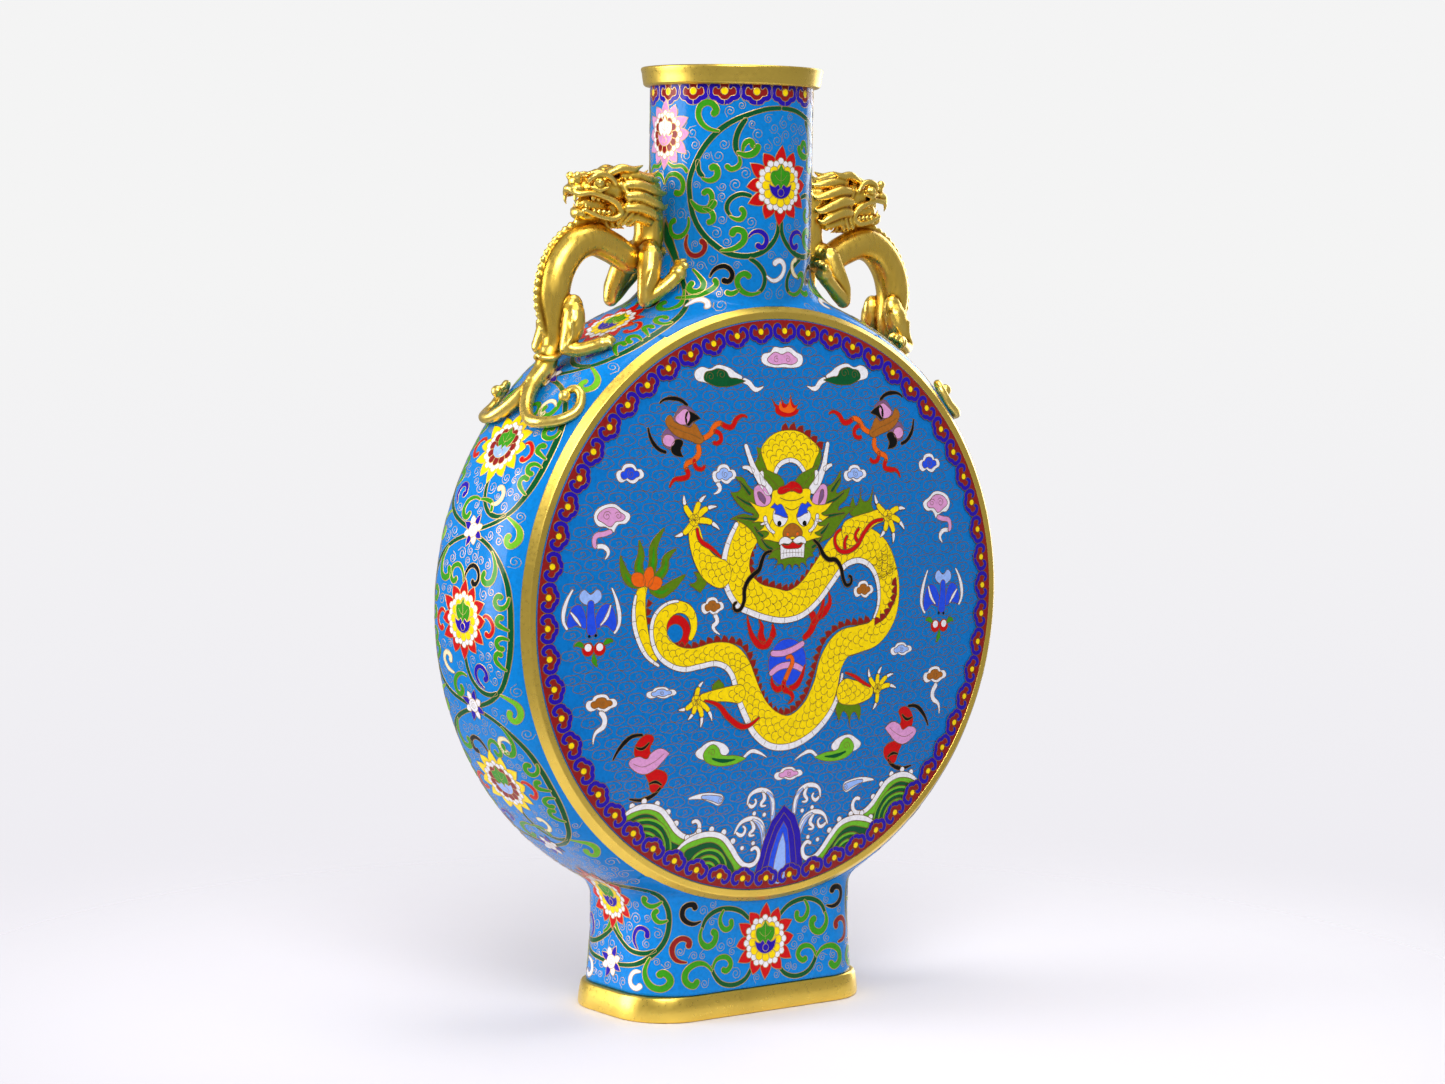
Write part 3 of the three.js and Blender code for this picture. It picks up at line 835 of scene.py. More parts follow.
def ruyi_cloud():
    art.cell("white", [(-118.5, 50.5), (-117, 54.5), (-112.5, 57), (-106.5, 57.5), (-102, 54.5),
        (-97.5, 51.5), (-100, 47.5), (-104.5, 47), (-107, 43, 0), (-112, 46), (-116, 46.5)], 1)
    art.cell("pink", [(-116.5, 50.5), (-115, 53.5), (-111, 55.5), (-106.5, 55.5), (-103, 53), (-100.5, 51),
        (-102, 49), (-106, 48.5), (-109, 46), (-113, 48)], 2)
    art.spiral(-111, 51.5, 2.6, 1.4, 30, 1, level=2)
    art.spiral(-104.5, 51.5, 2.2, 1.3, 150, -1, level=2)
    art.stroke("pink", [(-108, 44), (-112.5, 42.5), (-117.5, 41.5), (-118.5, 37.5), (-117, 35.5)],
        [2.6, 2.8, 2.2], 1)
    art.stroke("white", [(-117.5, 36), (-113, 36), (-110.5, 33), (-112.5, 29.5)], [2.2, 2.6, 0.7], 1)


mirrored(ruyi_cloud, 0)


def plain_cloud(x, y, width, height, inside):
    """A lobed white cloud, coloured inside, with one wire curl."""
    art.at(x, y)
    w, h = width / 2, height / 2
    outline = [(-w, -0.35 * h), (-0.95 * w, 0.25 * h), (-0.62 * w, 0.42 * h, 0), (-0.4 * w, 0.95 * h),
        (0.22 * w, h), (0.5 * w, 0.45 * h, 0), (0.85 * w, 0.4 * h), (w, -0.25 * h), (0.62 * w, -0.6 * h, 0),
        (0.2 * w, -h), (-0.3 * w, -0.62 * h, 0), (-0.72 * w, -0.85 * h)]
    art.cell("white", outline, 1)
    art.cell(inside, [(0.68 * point[0], 0.62 * point[1], *point[2:]) for point in outline], 2)
    art.spiral(0.05 * w, 0, 0.42 * h, 1.4, 120, 1, level=2)
    art.at()


for x, y, width, height, inside in ((-40, 71, 15, 10, "pale_blue"), (47.5, 69, 16, 9, "pale_blue"),
        (-97, 72.5, 16, 10, "royal_blue"), (103, 73, 16, 10, "royal_blue"), (-48, 3, 14, 9, "brown"),
        (53, 7, 14, 9, "brown"), (-113, -44, 18, 9, "brown"), (109, -43, 18, 9, "brown"),
        (-78, -40.5, 18, 6, "pale_blue"), (82, -27, 16, 7, "pale_blue"), (6, -89, 19, 7, "pink")):
    plain_cloud(x, y, width, height, inside)
art.stroke("white", [(-45, 67), (-43, 63.5), (-47, 61)], [2.6, 2.2, 0.6], 1)
art.stroke("white", [(-47, -1), (-45, -5), (-47.5, -8), (-43, -12)], [2.6, 2.4, 0.6], 1)
for side in (1, -1):
    art.stroke("white", [(side * x - (0 if side > 0 else 3), y) for x, y in [(-114, -48), (-111, -52),
        (-111.5, -56), (-116, -59.5), (-117, -65)]], [3, 2.8, 0.6], 1)


def hanging_bat():
    art.stroke("white", [(-130.5, 15), (-134.5, 8), (-136, 0), (-133.5, -5.5)], [1, 2.4, 1.4], 1)
    art.stroke("white", [(-108.5, 15), (-105, 6), (-104, -3), (-107, -8.5)], [1, 2.4, 1.4], 1)
    art.cell("royal_blue", [(-133.5, -4), (-131.5, 5), (-127, 7), (-124, 3), (-123, -5), (-128, -3.5)], 1)
    art.cell("royal_blue", [(-106.5, -7), (-107, 3), (-111, 7), (-116, 4), (-118, -5), (-112, -4)], 1)
    art.stroke("white", [(-132, 3.5), (-129, 0), (-126, -4)], [0.8, 1.8, 0.8], 2)
    art.stroke("white", [(-109, 6.5), (-111.5, 0), (-115, -4)], [0.8, 1.8, 0.8], 2)
    art.cell("pale_blue", [(-121, 6, 0), (-127, 10), (-124.5, 14.5), (-120.5, 12), (-116.5, 14.5),
        (-114.5, 10)], 2)
    art.stroke("royal_blue", [(-120.5, 9), (-120.5, 0), (-119.5, -9)], [3.5, 4.6, 6], 3)
    art.disc("black", -121.3, -9.2, 0.8, 4, False)
    art.disc("black", -117.6, -9, 0.8, 4, False)
    for x in (-121.8, -115.2):
        art.disc("bright_red", x, -16, 3.4, 2)
        art.disc("white", x, -15, 2, 3, False)
    for points in ([(-124, -15), (-127, -13), (-129.5, -14)], [(-113, -14), (-110, -12), (-107.5, -12.5)],
            [(-118.5, -18.5), (-118, -22), (-116.5, -25)]):
        art.stroke("leaf_green", points, [1, 3, 0.7], 2)


mirrored(hanging_bat, -7.5)


def red_bat():
    art.stroke("black", [(-105, -74), (-101, -67.5), (-95, -62.5), (-88, -61.8)], [0.8, 2.4, 1.4], 1)
    art.stroke("black", [(-94, -95), (-86, -96), (-79, -93.5), (-75.5, -90)], [0.8, 2.4, 1.4], 1)
    art.cell("bright_red", [(-91, -74), (-92.5, -68), (-87, -62), (-81.5, -63.5), (-83.5, -69), (-83, -74)],
        1)
    art.cell("bright_red", [(-85, -81), (-78, -80.5), (-72, -84), (-74, -90), (-80.5, -92.5), (-83, -87)],
        1)
    for points in ([(-92, -68), (-88, -69), (-84, -66)], [(-83, -88), (-79, -87), (-75, -89)]):
        art.stroke("black", points, [0.8, 1.6, 0.8], 2)
    art.cell("pink", [(-95.5, -75.5), (-92.5, -80), (-86, -82.5), (-80, -80.5), (-76, -77),
        (-71.5, -72.5, 0), (-77, -69.5), (-82.5, -71.5), (-85, -74.5), (-90, -73)], 3)
    art.wire([(-93, -76.5), (-87, -78.5), (-80, -76), (-75, -72.5)], 3)


mirrored(red_bat, 1, 3)


def low_cloud():
    art.cell("white", [(-55.5, -74), (-52, -70.5), (-47, -68), (-41, -68.5), (-36, -71), (-34.5, -74.5),
        (-40, -77), (-50, -77.5)], 1)
    art.cell("lime_green", [(-50.5, -75), (-48, -71), (-44.5, -69.7), (-41, -72), (-39, -75.5),
        (-30, -76.5), (-23, -78.5, 0), (-30, -81), (-40, -81.5), (-48, -79)], 2)
    art.stroke("dark_green", [(-45, -77), (-38, -78.8), (-30, -78.6)], [1, 2.2, 0.6], 3, False)
    art.stroke("white", [(-25, -78.5), (-20, -75), (-15, -76), (-9.5, -79)], [1.6, 2.2, 0.6], 1)
    art.spiral(-45, -74, 2.4, 1.3, 200, -1, level=2)


mirrored(low_cloud, 0, -3)


def comet():
    art.stroke("white", [(-58, -97.5), (-48, -97), (-36, -100.5)], [1, 4, 7], 1)
    art.stroke("pale_blue", [(-50, -97.3), (-44, -98), (-36.5, -100.3)], [1.6, 3, 4.4], 2)
    art.spiral(-37.5, -100, 1.7, 1.2, 90, 1, level=2)


mirrored(comet, 9)

art.cell("white", [(-12.5, 128.5), (-12, 132.5), (-6.5, 134), (-4, 136.5), (1, 136), (6, 136.5),
    (10.5, 133.8), (14.5, 131.5), (13.5, 127), (8, 125.5), (2, 125.8), (-6, 126)], 1)
art.cell("pink", [(-9, 129.5), (-7, 132), (-3.5, 133.8), (1, 132.6), (5, 133.8), (8.5, 131.8), (11, 129.5),
    (7, 127.3), (2, 127.8), (-4, 127.3)], 2)
art.spiral(-3, 130, 2, 1.3, 60, 1, level=2)
art.spiral(4.5, 130, 2, 1.3, 120, -1, level=2)
art.cell("bright_red", [(-5.5, 105, 0), (-5, 102), (1, 100), (8, 101.2), (10.5, 104, 0), (8.5, 103.8),
    (11.3, 108.3, 0), (7.3, 106), (5.2, 112.3, 0), (2.2, 106.5), (-1.8, 111.8, 0), (-2.2, 106),
    (-8, 110.3, 0)], 1)
art.cell("orange", [(-3, 104.5), (-2, 108.5, 0), (0.5, 104.6), (4.6, 109.5, 0), (6.2, 104.6), (9.3, 106, 0),
    (6, 102.6), (1, 102.2)], 2, False)


def breaker(foam, back, hollow, middle, radii, sweep, beads, level):
    """A breaking wave: foam along its crest, ribs in its hollow and beads of spray above it."""
    art.cell("lime_green", back[:1] + foam[1:-4] + back[1:], level)
    art.cell("dark_green", hollow, level + 1)
    for radius in radii:
        arc = [(middle[0] + radius * math.cos(turn),
            middle[1] + radius * math.sin(turn)) for turn in np.radians(range(*sweep, 24))]
        art.stroke("lime_green", arc, [1, 1.2, 1], level + 2, False)
        art.wire([(x, y + 0.9) for x, y in arc], level + 2)
    art.stroke("white", foam, [1.2, 3, 3, 3, 2.6, 2], level + 3)
    for x, y in beads:
        art.disc("white", x, y, 1.7, level + 2)


def outer_breaker():
    breaker(foam=[(-100, -107), (-93, -101.5), (-84, -99.5), (-75, -102), (-69, -108), (-64, -114),
        (-58, -117.8), (-52, -117.2), (-49.8, -113), (-51.8, -109.8), (-55, -110.5)],
        back=[(-100, -108, 0), (-60, -126), (-70, -124), (-84, -110), (-96, -114)],
        hollow=[(-98, -110), (-92, -105.5), (-84, -103.5), (-77, -106), (-72, -112), (-67, -119),
        (-60, -124), (-64, -132, 0), (-76, -128), (-90, -116)], middle=(-84, -124),
        radii=(7, 10.5, 14, 17.5), sweep=(0, 150), level=1, beads=((-92, -98.8), (-85, -96.8), (-77, -98.6),
        (-70, -103.5), (-64.5, -110)))


mirrored(outer_breaker, 3, 3)


def inner_breaker():
    breaker(foam=[(-64, -126), (-58, -120.8), (-50, -118), (-42, -117.6), (-34.5, -120), (-28.5, -126),
        (-23, -133), (-18, -136.6), (-12, -136), (-9.8, -131), (-12.2, -127.6), (-15.5, -129)],
        back=[(-64, -127, 0), (-20, -142, 0), (-40, -140), (-56, -128.5, 0)], hollow=[(-58, -127),
        (-50, -123), (-42, -122), (-36, -124.5), (-31, -130), (-25, -138), (-26, -141, 0), (-42, -138.5),
        (-50, -133, 0)], middle=(-43, -139), radii=(6, 9.5, 13), sweep=(4, 170), level=3,
        beads=((-57, -118.2), (-50, -115.3), (-42, -115), (-34, -117.2), (-27.6, -122.6)))


mirrored(inner_breaker, 10)


def spray():
    art.stroke("white", [(-20, -104), (-18.5, -98.5), (-12, -96.3), (-6, -98.5), (-3, -104), (-3, -111)],
        [1, 2.6, 2.6, 1.2], 2)
    art.stroke("pale_blue", [(-8, -97.8), (-4.5, -101), (-3, -106), (-2.5, -115)], [1.2, 3, 3, 2], 2)
    art.stroke("white", [(-19.5, -103), (-17, -105), (-14.5, -103), (-15.5, -100.8)], [1.4, 2.2, 1.6, 1.2],
        2)
    art.stroke("white", [(-11, -97), (-9, -101), (-11, -104.5), (-7.5, -105)], [1.2, 2.4, 1.8, 1], 2)
    art.stroke("white", [(-27, -119), (-23.5, -113.3), (-17, -111.3), (-11, -113.3), (-8, -118),
        (-7, -125)], [1, 2.6, 2.6, 1.2], 2)
    art.stroke("pale_blue", [(-16, -112), (-11.5, -114.5), (-8.5, -119), (-7, -127)], [1.2, 3, 3, 2], 2)
    art.stroke("white", [(-26, -118), (-22, -120), (-20, -117), (-22, -115)], [1.4, 2.2, 1.6, 1.2], 2)
    art.stroke("white", [(-17, -112.5), (-14.5, -117), (-17, -120), (-13.5, -120.5)], [1.2, 2.4, 1.8, 1], 2)
    for x, y in ((-15, -108.8), (-8.3, -110), (-14, -125), (-21, -127)):
        art.disc("white", x, y, 1.3, 2)


mirrored(spray, 9)

rock = [[(4.5, -106), (-3, -114), (-7, -124), (-10, -137), (-12, -146), (5, -149), (22, -146), (20, -134),
    (17, -121), (12.5, -112)], [(4.8, -110), (-0.5, -117), (-4, -127), (-6.5, -139), (-7.5, -146.5),
    (5, -149), (17.5, -146.5), (16, -136), (13, -123), (9.5, -115)], [(5, -115), (1.5, -121), (-1.5, -131),
    (-3, -141), (-3.2, -147.2), (5, -149), (13.5, -147.2), (12.5, -138), (10, -127), (8, -119)],
    [(5.2, -121), (3, -127), (1.3, -136), (0.8, -148.2), (5, -149), (9.5, -148.2), (9, -138), (7.4, -127)]]
for depth, (color, outline) in enumerate(zip(("cobalt", "cobalt", "royal_blue", "pale_blue"), rock)):
    art.cell(color, [(*point, 0) for point in outline], 4 + depth)


# ------------------------------------------------------------------ the dragon on the panel
# A coiled, front-facing dragon in yellow enamel, its scales drawn in wire. It has a white belly,
# red fins and a green mane, and holds a burning pearl.

def stations(line, spacing, start=0.0):
    """Points spaced evenly along a line, each with the line's direction there."""
    run = np.concatenate([[0], np.cumsum(np.linalg.norm(np.diff(line, axis=0), axis=1))])
    for place in np.arange(start, run[-1], spacing):
        spot = np.array([np.interp(place, run, line[:, axis]) for axis in (0, 1)])
        ahead = np.array([np.interp(place + 0.4, run, line[:, axis]) for axis in (0, 1)])
        behind = np.array([np.interp(place - 0.4, run, line[:, axis]) for axis in (0, 1)])
        way = (ahead - behind) / max(np.linalg.norm(ahead - behind), 1e-6)
        yield place / run[-1], spot, way


def scaly(points, widths, level, ends=(True, True), pitch=4.8):
    """A yellow length of body or limb with rows of wire scales across it."""
    art.stroke("yellow", points, widths, level, ends=ends)
    line = flowing(points, step=1)
    for number, (share, spot, way) in enumerate(stations(line, pitch * 0.78, 1.5)):
        side = np.array([-way[1], way[0]])
        breadth = np.interp(share * (len(widths) - 1), range(len(widths)), widths) - 0.8
        room = int(breadth / pitch)
        shift = 0.5 if number % 2 else 0
        for k in np.arange(-room, room + 1) + shift:
            if abs(k * pitch) + pitch * 0.45 > breadth / 2:
                continue
            arc = [spot + side * (k * pitch + pitch * 0.5 * math.cos(t)) + way * pitch * 0.62 * math.sin(t)
                for t in np.linspace(0, math.pi, 7)]
            art.wire(np.array(arc), level, 0.55, raw=True)


def belly(points, widths, level):
    """The white underside, with short wires across it."""
    art.stroke("white", points, widths, level)
    for _, spot, way in stations(flowing(points, step=1), 8.5, 4):
        across = np.array([-way[1], way[0]]) * 1.2
        art.wire(np.array([spot - across, spot + across]), level, 0.5, raw=True)


def fins(points, level, size=2.5, spacing=4.6, side=1):
    """A row of rounded red fins standing along one side of a line."""
    for _, spot, way in stations(flowing(points, step=1), spacing, spacing / 2):
        across = np.array([-way[1], way[0]]) * side
        shape = [(*(spot - way * size), 0), tuple(spot - way * size * 0.7 + across * size * 0.9),
            (*(spot + way * size * 0.3 + across * size * 1.5), 0), (*(spot + way * size * 0.95), 0)]
        art.cell("brick_red", shape, level)


def paw(x, y, tips, level, size=2.6):
    """Toes spread from one point, each ending in a white hooked claw."""
    for tip_x, tip_y in tips:
        dx, dy = tip_x - x, tip_y - y
        bend_x, bend_y = -dy * 0.12, dx * 0.12
        middle = (x + dx * 0.45 + bend_x, y + dy * 0.45 + bend_y)
        knuckle = (x + dx * 0.66 + bend_x, y + dy * 0.66 + bend_y)
        art.stroke("white", [knuckle, (x + dx * 0.85 + bend_x * 0.6, y + dy * 0.85 + bend_y * 0.6),
            (tip_x, tip_y)], [size * 0.8, size * 0.6, 0.5], level)
        art.stroke("yellow", [(x, y), middle, knuckle], [size, size * 1.1, size * 0.95], level + 1)
    art.disc("yellow", x, y, size * 1.05, level + 1)


def flame(points, level):
    """A tongue of green mane, or of green flame at a joint."""
    art.cell("moss_green", points, level)


# tail and coil at the left
for points, widths in (([(-90, 17), (-97, 17.5), (-101, 22), (-103.5, 31)], [5, 5.5, 4, 0.8]),
        ([(-90, 18), (-93, 25), (-91.5, 31), (-92.5, 38.5)], [5, 5, 4, 0.8]), ([(-87, 18), (-84.5, 27),
        (-84, 35), (-77.5, 44.5)], [5, 5, 4.4, 0.8]), ([(-85, 17), (-78, 23), (-76.5, 29), (-70.5, 33.5)],
        [5, 5, 4, 0.8]), ([(-86, 15), (-80, 11.5), (-75, 13.5), (-65, 20)], [5, 6, 5, 0.8])):
    art.stroke("moss_green", points, widths, 2)
    art.stroke("leaf_green", points[:3], [0.8, 2.2, 1.6, 0.5], 3, False)
for points in ([(-90, 15), (-96, 16), (-97, 21), (-92, 22), (-89, 18)], [(-89, 15), (-90, 21), (-86, 25),
        (-84, 20), (-86, 15)], [(-87, 14), (-82, 13), (-79, 17), (-83, 20), (-87, 17)]):
    art.cell("orange", points, 4)
scaly([(-82, -24), (-88.5, -15), (-91.5, -3), (-92, 8), (-89.5, 17)], [6, 7, 7, 6.5, 5], 2)
belly([(-80, -26.5), (-88.5, -20), (-94.5, -8), (-95.8, 2), (-94.5, 11)], [1.5, 2.4, 2.4, 1.4], 3)
fins([(-87.5, -5), (-88.2, 3), (-87, 10)], 2, 2, side=-1)
art.disc("bright_red", -71, -10, 9.5, 2)
art.disc("mid_blue", -71, -10, 4.8, 3)

body = [(-24, 44), (-31, 33), (-33.5, 23), (-31, 13.5), (-22.5, 6), (-10, 2.5), (1.5, 0.8), (14, 6.5),
    (25, 17), (37, 29), (51, 31.5), (63, 26), (70, 14), (72, 3), (69.5, -8), (61, -17), (50, -19.5),
    (38.5, -22), (31, -31), (27.5, -44), (20.5, -57), (7, -66), (-7, -64.5), (-18, -55), (-25, -41),
    (-29.5, -31), (-36, -23.5), (-46, -21.5), (-60, -23.5), (-72, -20.5), (-80, -11.5), (-79, -2),
    (-71, 3.5), (-62.5, 1), (-59.5, -7), (-62, -14)]
girth = [17, 16, 17, 18, 17, 16.5, 16, 17, 18, 19, 19, 17.5, 15.5, 14, 14, 14, 15, 16, 16.5, 18, 18, 18, 19,
    17, 14, 13.5, 12, 11, 10.5, 10, 9.5, 9, 7.5, 6, 4.5, 2.5]
fins([(-23, 36), (-25.5, 28), (-25, 20), (-21, 15), (-10, 11), (1, 8.8), (10, 12.5), (20, 21.5), (27, 30)],
    2, side=1)
fins([(58, -10.5), (50, -11.7), (40, -12), (32, -15), (26, -20), (22.3, -28), (19, -38), (15, -47.5),
    (8, -54.7), (0, -57), (-8, -54.7), (-15, -47.5), (-20, -38), (-23, -28.5), (-29, -19.5), (-37, -16.7),
    (-46, -16), (-56, -18), (-65, -19), (-72, -15.5)], 2, side=-1)
scaly(body[24:], girth[24:], 3, ends=(False, True), pitch=4)
scaly(body[11:26], girth[11:26], 4, ends=(False, False))
scaly(body[:13], girth[:13], 4, ends=(False, False))
fins([(76.5, 12), (77, 3), (73.5, -4), (69, -9), (63, -12)], 5, side=-1)
belly([(-32.5, 46), (-38.8, 35), (-41.4, 24), (-39.3, 12), (-32.5, 2.6), (-25, -1), (-14, -4.7), (-2, -6.6),
    (10, -4.6), (20.5, 2), (30, 11.5), (37, 18.6), (42.5, 21.8), (50, 22.6), (57, 19.6), (62, 13), (64, 4),
    (63.3, -3), (60.5, -9)], [2.4, 3.2, 3.2, 3.2, 3, 3, 3, 3, 2.6, 1.4], 5)
belly([(39.3, -37), (37.3, -47), (34, -55), (27.5, -63), (17.5, -70.2), (5, -74.2), (-8, -73), (-18.5, -66),
    (-24.6, -57), (-30.5, -46), (-32.5, -40), (-34.8, -34), (-39, -29.3), (-46, -27), (-55, -28),
    (-65, -29), (-74, -26.2), (-81.3, -20.3), (-85, -11.5), (-84.6, -3), (-81, 2.6), (-75, 6), (-69, 6.6)],
    [1.6, 3.2, 3.4, 3.4, 3.4, 3, 2.8, 2.6, 2.2, 1.4], 5)

# the hump behind the head
flame([(-19, 84.5, 0), (-18.3, 80), (-20.5, 75), (-19.5, 70), (-12.5, 69.5), (-14, 77), (-15, 83)], 2)
flame([(23, 83.5, 0), (24.3, 79.5), (22.5, 74), (19.5, 70), (14, 70), (18, 76), (20.5, 82)], 2)
fins([(-2, 92.6), (6, 92.9), (14, 90.2), (21, 85), (26, 81)], 2, 2.6, 5, side=1)
hump = [(-10.8, 70), (-14, 76), (-16, 83), (-12.5, 88), (-6, 91.8), (2, 93), (10, 92), (17, 88),
    (22.5, 82.5), (20, 77.5), (17.5, 73), (14, 70), (12, 73), (7.5, 77), (2, 78), (-3.5, 76.3), (-6.5, 73),
    (-8, 70)]
art.cell("yellow", hump, 3)
for row, radius in enumerate((11.5, 15, 18.5, 22)):
    for k in range(-5, 6):
        turn = (k + 0.5 * (row % 2)) * 4.9 / radius
        if abs(turn) > 1.05:
            continue
        centre = np.array([3 + radius * math.sin(turn), 67.5 + radius * math.cos(turn)])
        out = np.array([math.sin(turn), math.cos(turn)])
        across = np.array([out[1], -out[0]])
        art.wire(np.array([centre + across * 2.4 * math.cos(t) + out * 2.6 * math.sin(t) for t in
            np.linspace(0, math.pi, 7)]), 3, 0.55, raw=True)
belly([(-7.5, 70.5), (-4.5, 75), (1.5, 77.3), (7, 76.3), (11, 72.5), (12.5, 70)], [2.4, 2.4], 4)

# legs
for points, widths in (([(-37, 18), (-49, 22.5), (-57, 33), (-60, 46)], [16, 14, 9.5, 6.5]),
        ([(38, 35), (50, 41), (62, 45.5), (69, 46)], [17, 13, 8, 6.5]), ([(-26, -44), (-40, -43.6),
        (-55, -45)], [11, 7, 4.5]), ([(36, -45.5), (49, -48.5), (62, -48)], [15, 13, 7])):
    scaly(points, widths, 6, pitch=4.2)
paw(-59.5, 48, [(-65.5, 61), (-52, 60.5), (-45.5, 54.5), (-44, 42.5), (-71.5, 40)], 6, 3)
paw(70, 46, [(61, 57.5), (83.5, 49), (82.5, 38), (74, 31), (64.5, 34.5)], 6, 3)
paw(-57, -45.5, [(-53, -36), (-67.5, -50), (-61.5, -55.5), (-53.5, -60), (-46.5, -57)], 6)
paw(65, -47.5, [(58, -36), (67.5, -35.5), (76.5, -40), (79, -48), (62.5, -58.5)], 6)
art.stroke("bright_red", [(-58, 44), (-56, 37.5), (-49, 33), (-43, 28)], [1.6, 2.6, 1], 7)
art.stroke("bright_red", [(67, 44), (59, 42.5), (53, 37.5), (48, 31), (42, 28), (36, 28.3), (32.5, 32),
    (32.6, 37), (36.5, 40)], [1.6, 2.4, 2.4, 2.2, 1.6], 7)
art.stroke("bright_red", [(41, 36.5), (39, 33), (39.5, 29)], [1.6, 2.2], 7)
art.stroke("bright_red", [(49.5, 40), (46.5, 36), (49, 32.5)], [1.6, 2.2], 7)
art.stroke("bright_red", [(41, -37), (48, -39.5), (53, -42.5), (60, -46)], [1, 2.2, 1.2], 7)
art.stroke("bright_red", [(-52, -46), (-43, -49), (-36, -56), (-26, -61.5), (-16, -57)], [1, 3, 3.2, 1], 7)
flame([(-56, 10.5, 0), (-63, 15, 0), (-58, 17), (-60, 21, 0), (-52, 18)], 5)
flame([(44, 47), (45.5, 57, 0), (48, 52), (51.5, 64, 0), (53.5, 54), (60.5, 62, 0), (58.5, 52), (60, 48.5)],
    5)
flame([(37, -53), (38.5, -63, 0), (42, -58), (47, -68.5, 0), (48, -59), (53, -64, 0), (52, -55)], 5)
flame([(-47, -40.5), (-43.5, -35.5, 0), (-40, -40)], 5)

# pearl
art.disc("royal_blue", 1, -29, 12.5, 3)
art.stroke("pink", [(-10.4, -23.5), (-3, -24), (4, -22.5), (12, -19)], [3, 3.4, 3], 4)
art.stroke("pink", [(-10.6, -35), (-5, -31.5), (0, -30.5), (6, -31), (12, -34)], [3, 3.4, 3], 4)
for points in ([(-10, -15), (-13, -19), (-18, -18.5), (-22.5, -14), (-25, -8), (-26, -3)],
        [(-14, -18), (-17, -14), (-16.5, -9), (-18.5, -5.5)], [(-10.5, -16), (-9, -13), (-9.5, -8)],
        [(11, -17), (16, -13.5), (18.5, -9), (22, -5), (24.5, 2), (24, 8)], [(18, -10), (17.5, -5),
        (14.5, -2), (15, 3)], [(21, -7), (26, -3), (29, 1), (28, 7)]):
    art.stroke("bright_red", points, [3, 4.2, 2.6, 0.7], 3)
art.stroke("orange", [(0, -27), (3, -26), (4.4, -29), (2, -34), (-0.5, -39)], [1.8, 2.4, 2.6, 2.8], 5)
for points in ([(-0.5, -38), (-0.5, -43), (3.5, -45), (5.5, -48.5), (2.5, -51)],
        [(-0.5, -41), (-5, -43), (-8.5, -40), (-9, -36)], [(2.5, -43), (7, -42), (10.5, -38), (13, -31)]):
    art.stroke("bright_red", points, [2.6, 3.4, 2.4, 0.7], 5)

# mane, ears and antlers
flame([(-20, 61), (-25, 64.5), (-28.5, 69), (-33.5, 69.5, 0), (-30, 63.5), (-36.5, 61.5, 0), (-33, 56.5),
    (-27, 51.5), (-22, 49.5), (-29, 50.2), (-37, 47.8, 0), (-31, 46.3), (-25, 42.5), (-21, 38), (-18.5, 33),
    (-13, 29.5), (-8, 27), (-2, 40), (-10, 56)], 6)
flame([(27, 62.5), (32, 65), (36.8, 71, 0), (36.5, 64.5), (33.5, 59.5), (38, 60.3), (43.5, 61.8, 0),
    (40.5, 56), (34.5, 50.5), (40, 51.8), (46.3, 51, 0), (39.5, 46.5), (34, 41), (29, 36), (22, 33.5),
    (14, 28), (8, 40), (16, 56)], 6)
for side, axis in ((-1, -0.5), (1, 6)):
    for points in ([(-24, 60), (-28, 64.5), (-31, 67.5)], [(-21, 54), (-27, 56), (-33, 59.5)],
            [(-17, 46.5), (-25, 47.6), (-33, 48.4)], [(-16, 38), (-19, 40), (-22, 43.5)],
            [(-10, 31), (-14, 33), (-17.5, 37)]):
        art.stroke("dark_green", [(-side * x + (axis if side > 0 else 0), y) for x, y in points],
            [1.8, 1.4, 0.5], 7)
flame([(-16, 73.5, 0), (-10, 71.5), (-4.5, 69), (-1.8, 65), (-6, 61), (-11, 60), (-15.5, 65)], 6)
art.wire([(-14.5, 71), (-9, 66.5), (-5, 62)], 6)
flame([(21, 74, 0), (15, 72), (9, 69.5), (5.5, 65), (10, 61), (16, 61), (20, 66)], 6)
art.wire([(19, 71), (13.5, 66.5), (9.5, 62)], 6)
art.cell("pink", [(-21, 64), (-16, 64.8), (-12, 60), (-10.8, 57), (-14, 53), (-17.5, 51.8), (-20.5, 55),
    (-21.8, 60)], 7)
art.cell("pink", [(24, 64.3), (26.8, 63), (27, 57.5), (24.5, 52.5), (20.5, 50.4), (17, 52.5), (17, 57),
    (20, 61.5)], 7)
art.cell("violet", [(-19, 61.5), (-14.5, 58), (-15, 55, 0), (-18.5, 58)], 8)
art.cell("violet", [(23.8, 61.5), (21.5, 57), (21, 53.5, 0), (24.5, 57.5)], 8)
for points, widths in (([(-10.5, 60), (-16, 66), (-21, 73), (-24, 80), (-26.3, 86.5)],
        [5.4, 5, 3.6, 2.8, 2.4]), ([(-21.5, 71.5), (-25, 74), (-28.8, 74.3)], [3, 2.4, 1.6]),
        ([(-14.5, 64), (-16.3, 68.5), (-16.2, 72.3)], [3, 2.6, 2.4]), ([(15.5, 60), (21, 66), (25, 73),
        (27, 80), (28.8, 86.5)], [5.4, 5, 3.6, 2.8, 2.4]), ([(25, 71.5), (28.5, 73.6), (31.2, 74.3)],
        [3, 2.4, 1.6]), ([(19, 64), (20.3, 68.5), (19.7, 71.8)], [3, 2.6, 2.4])):
    art.stroke("white", points, widths, 7)

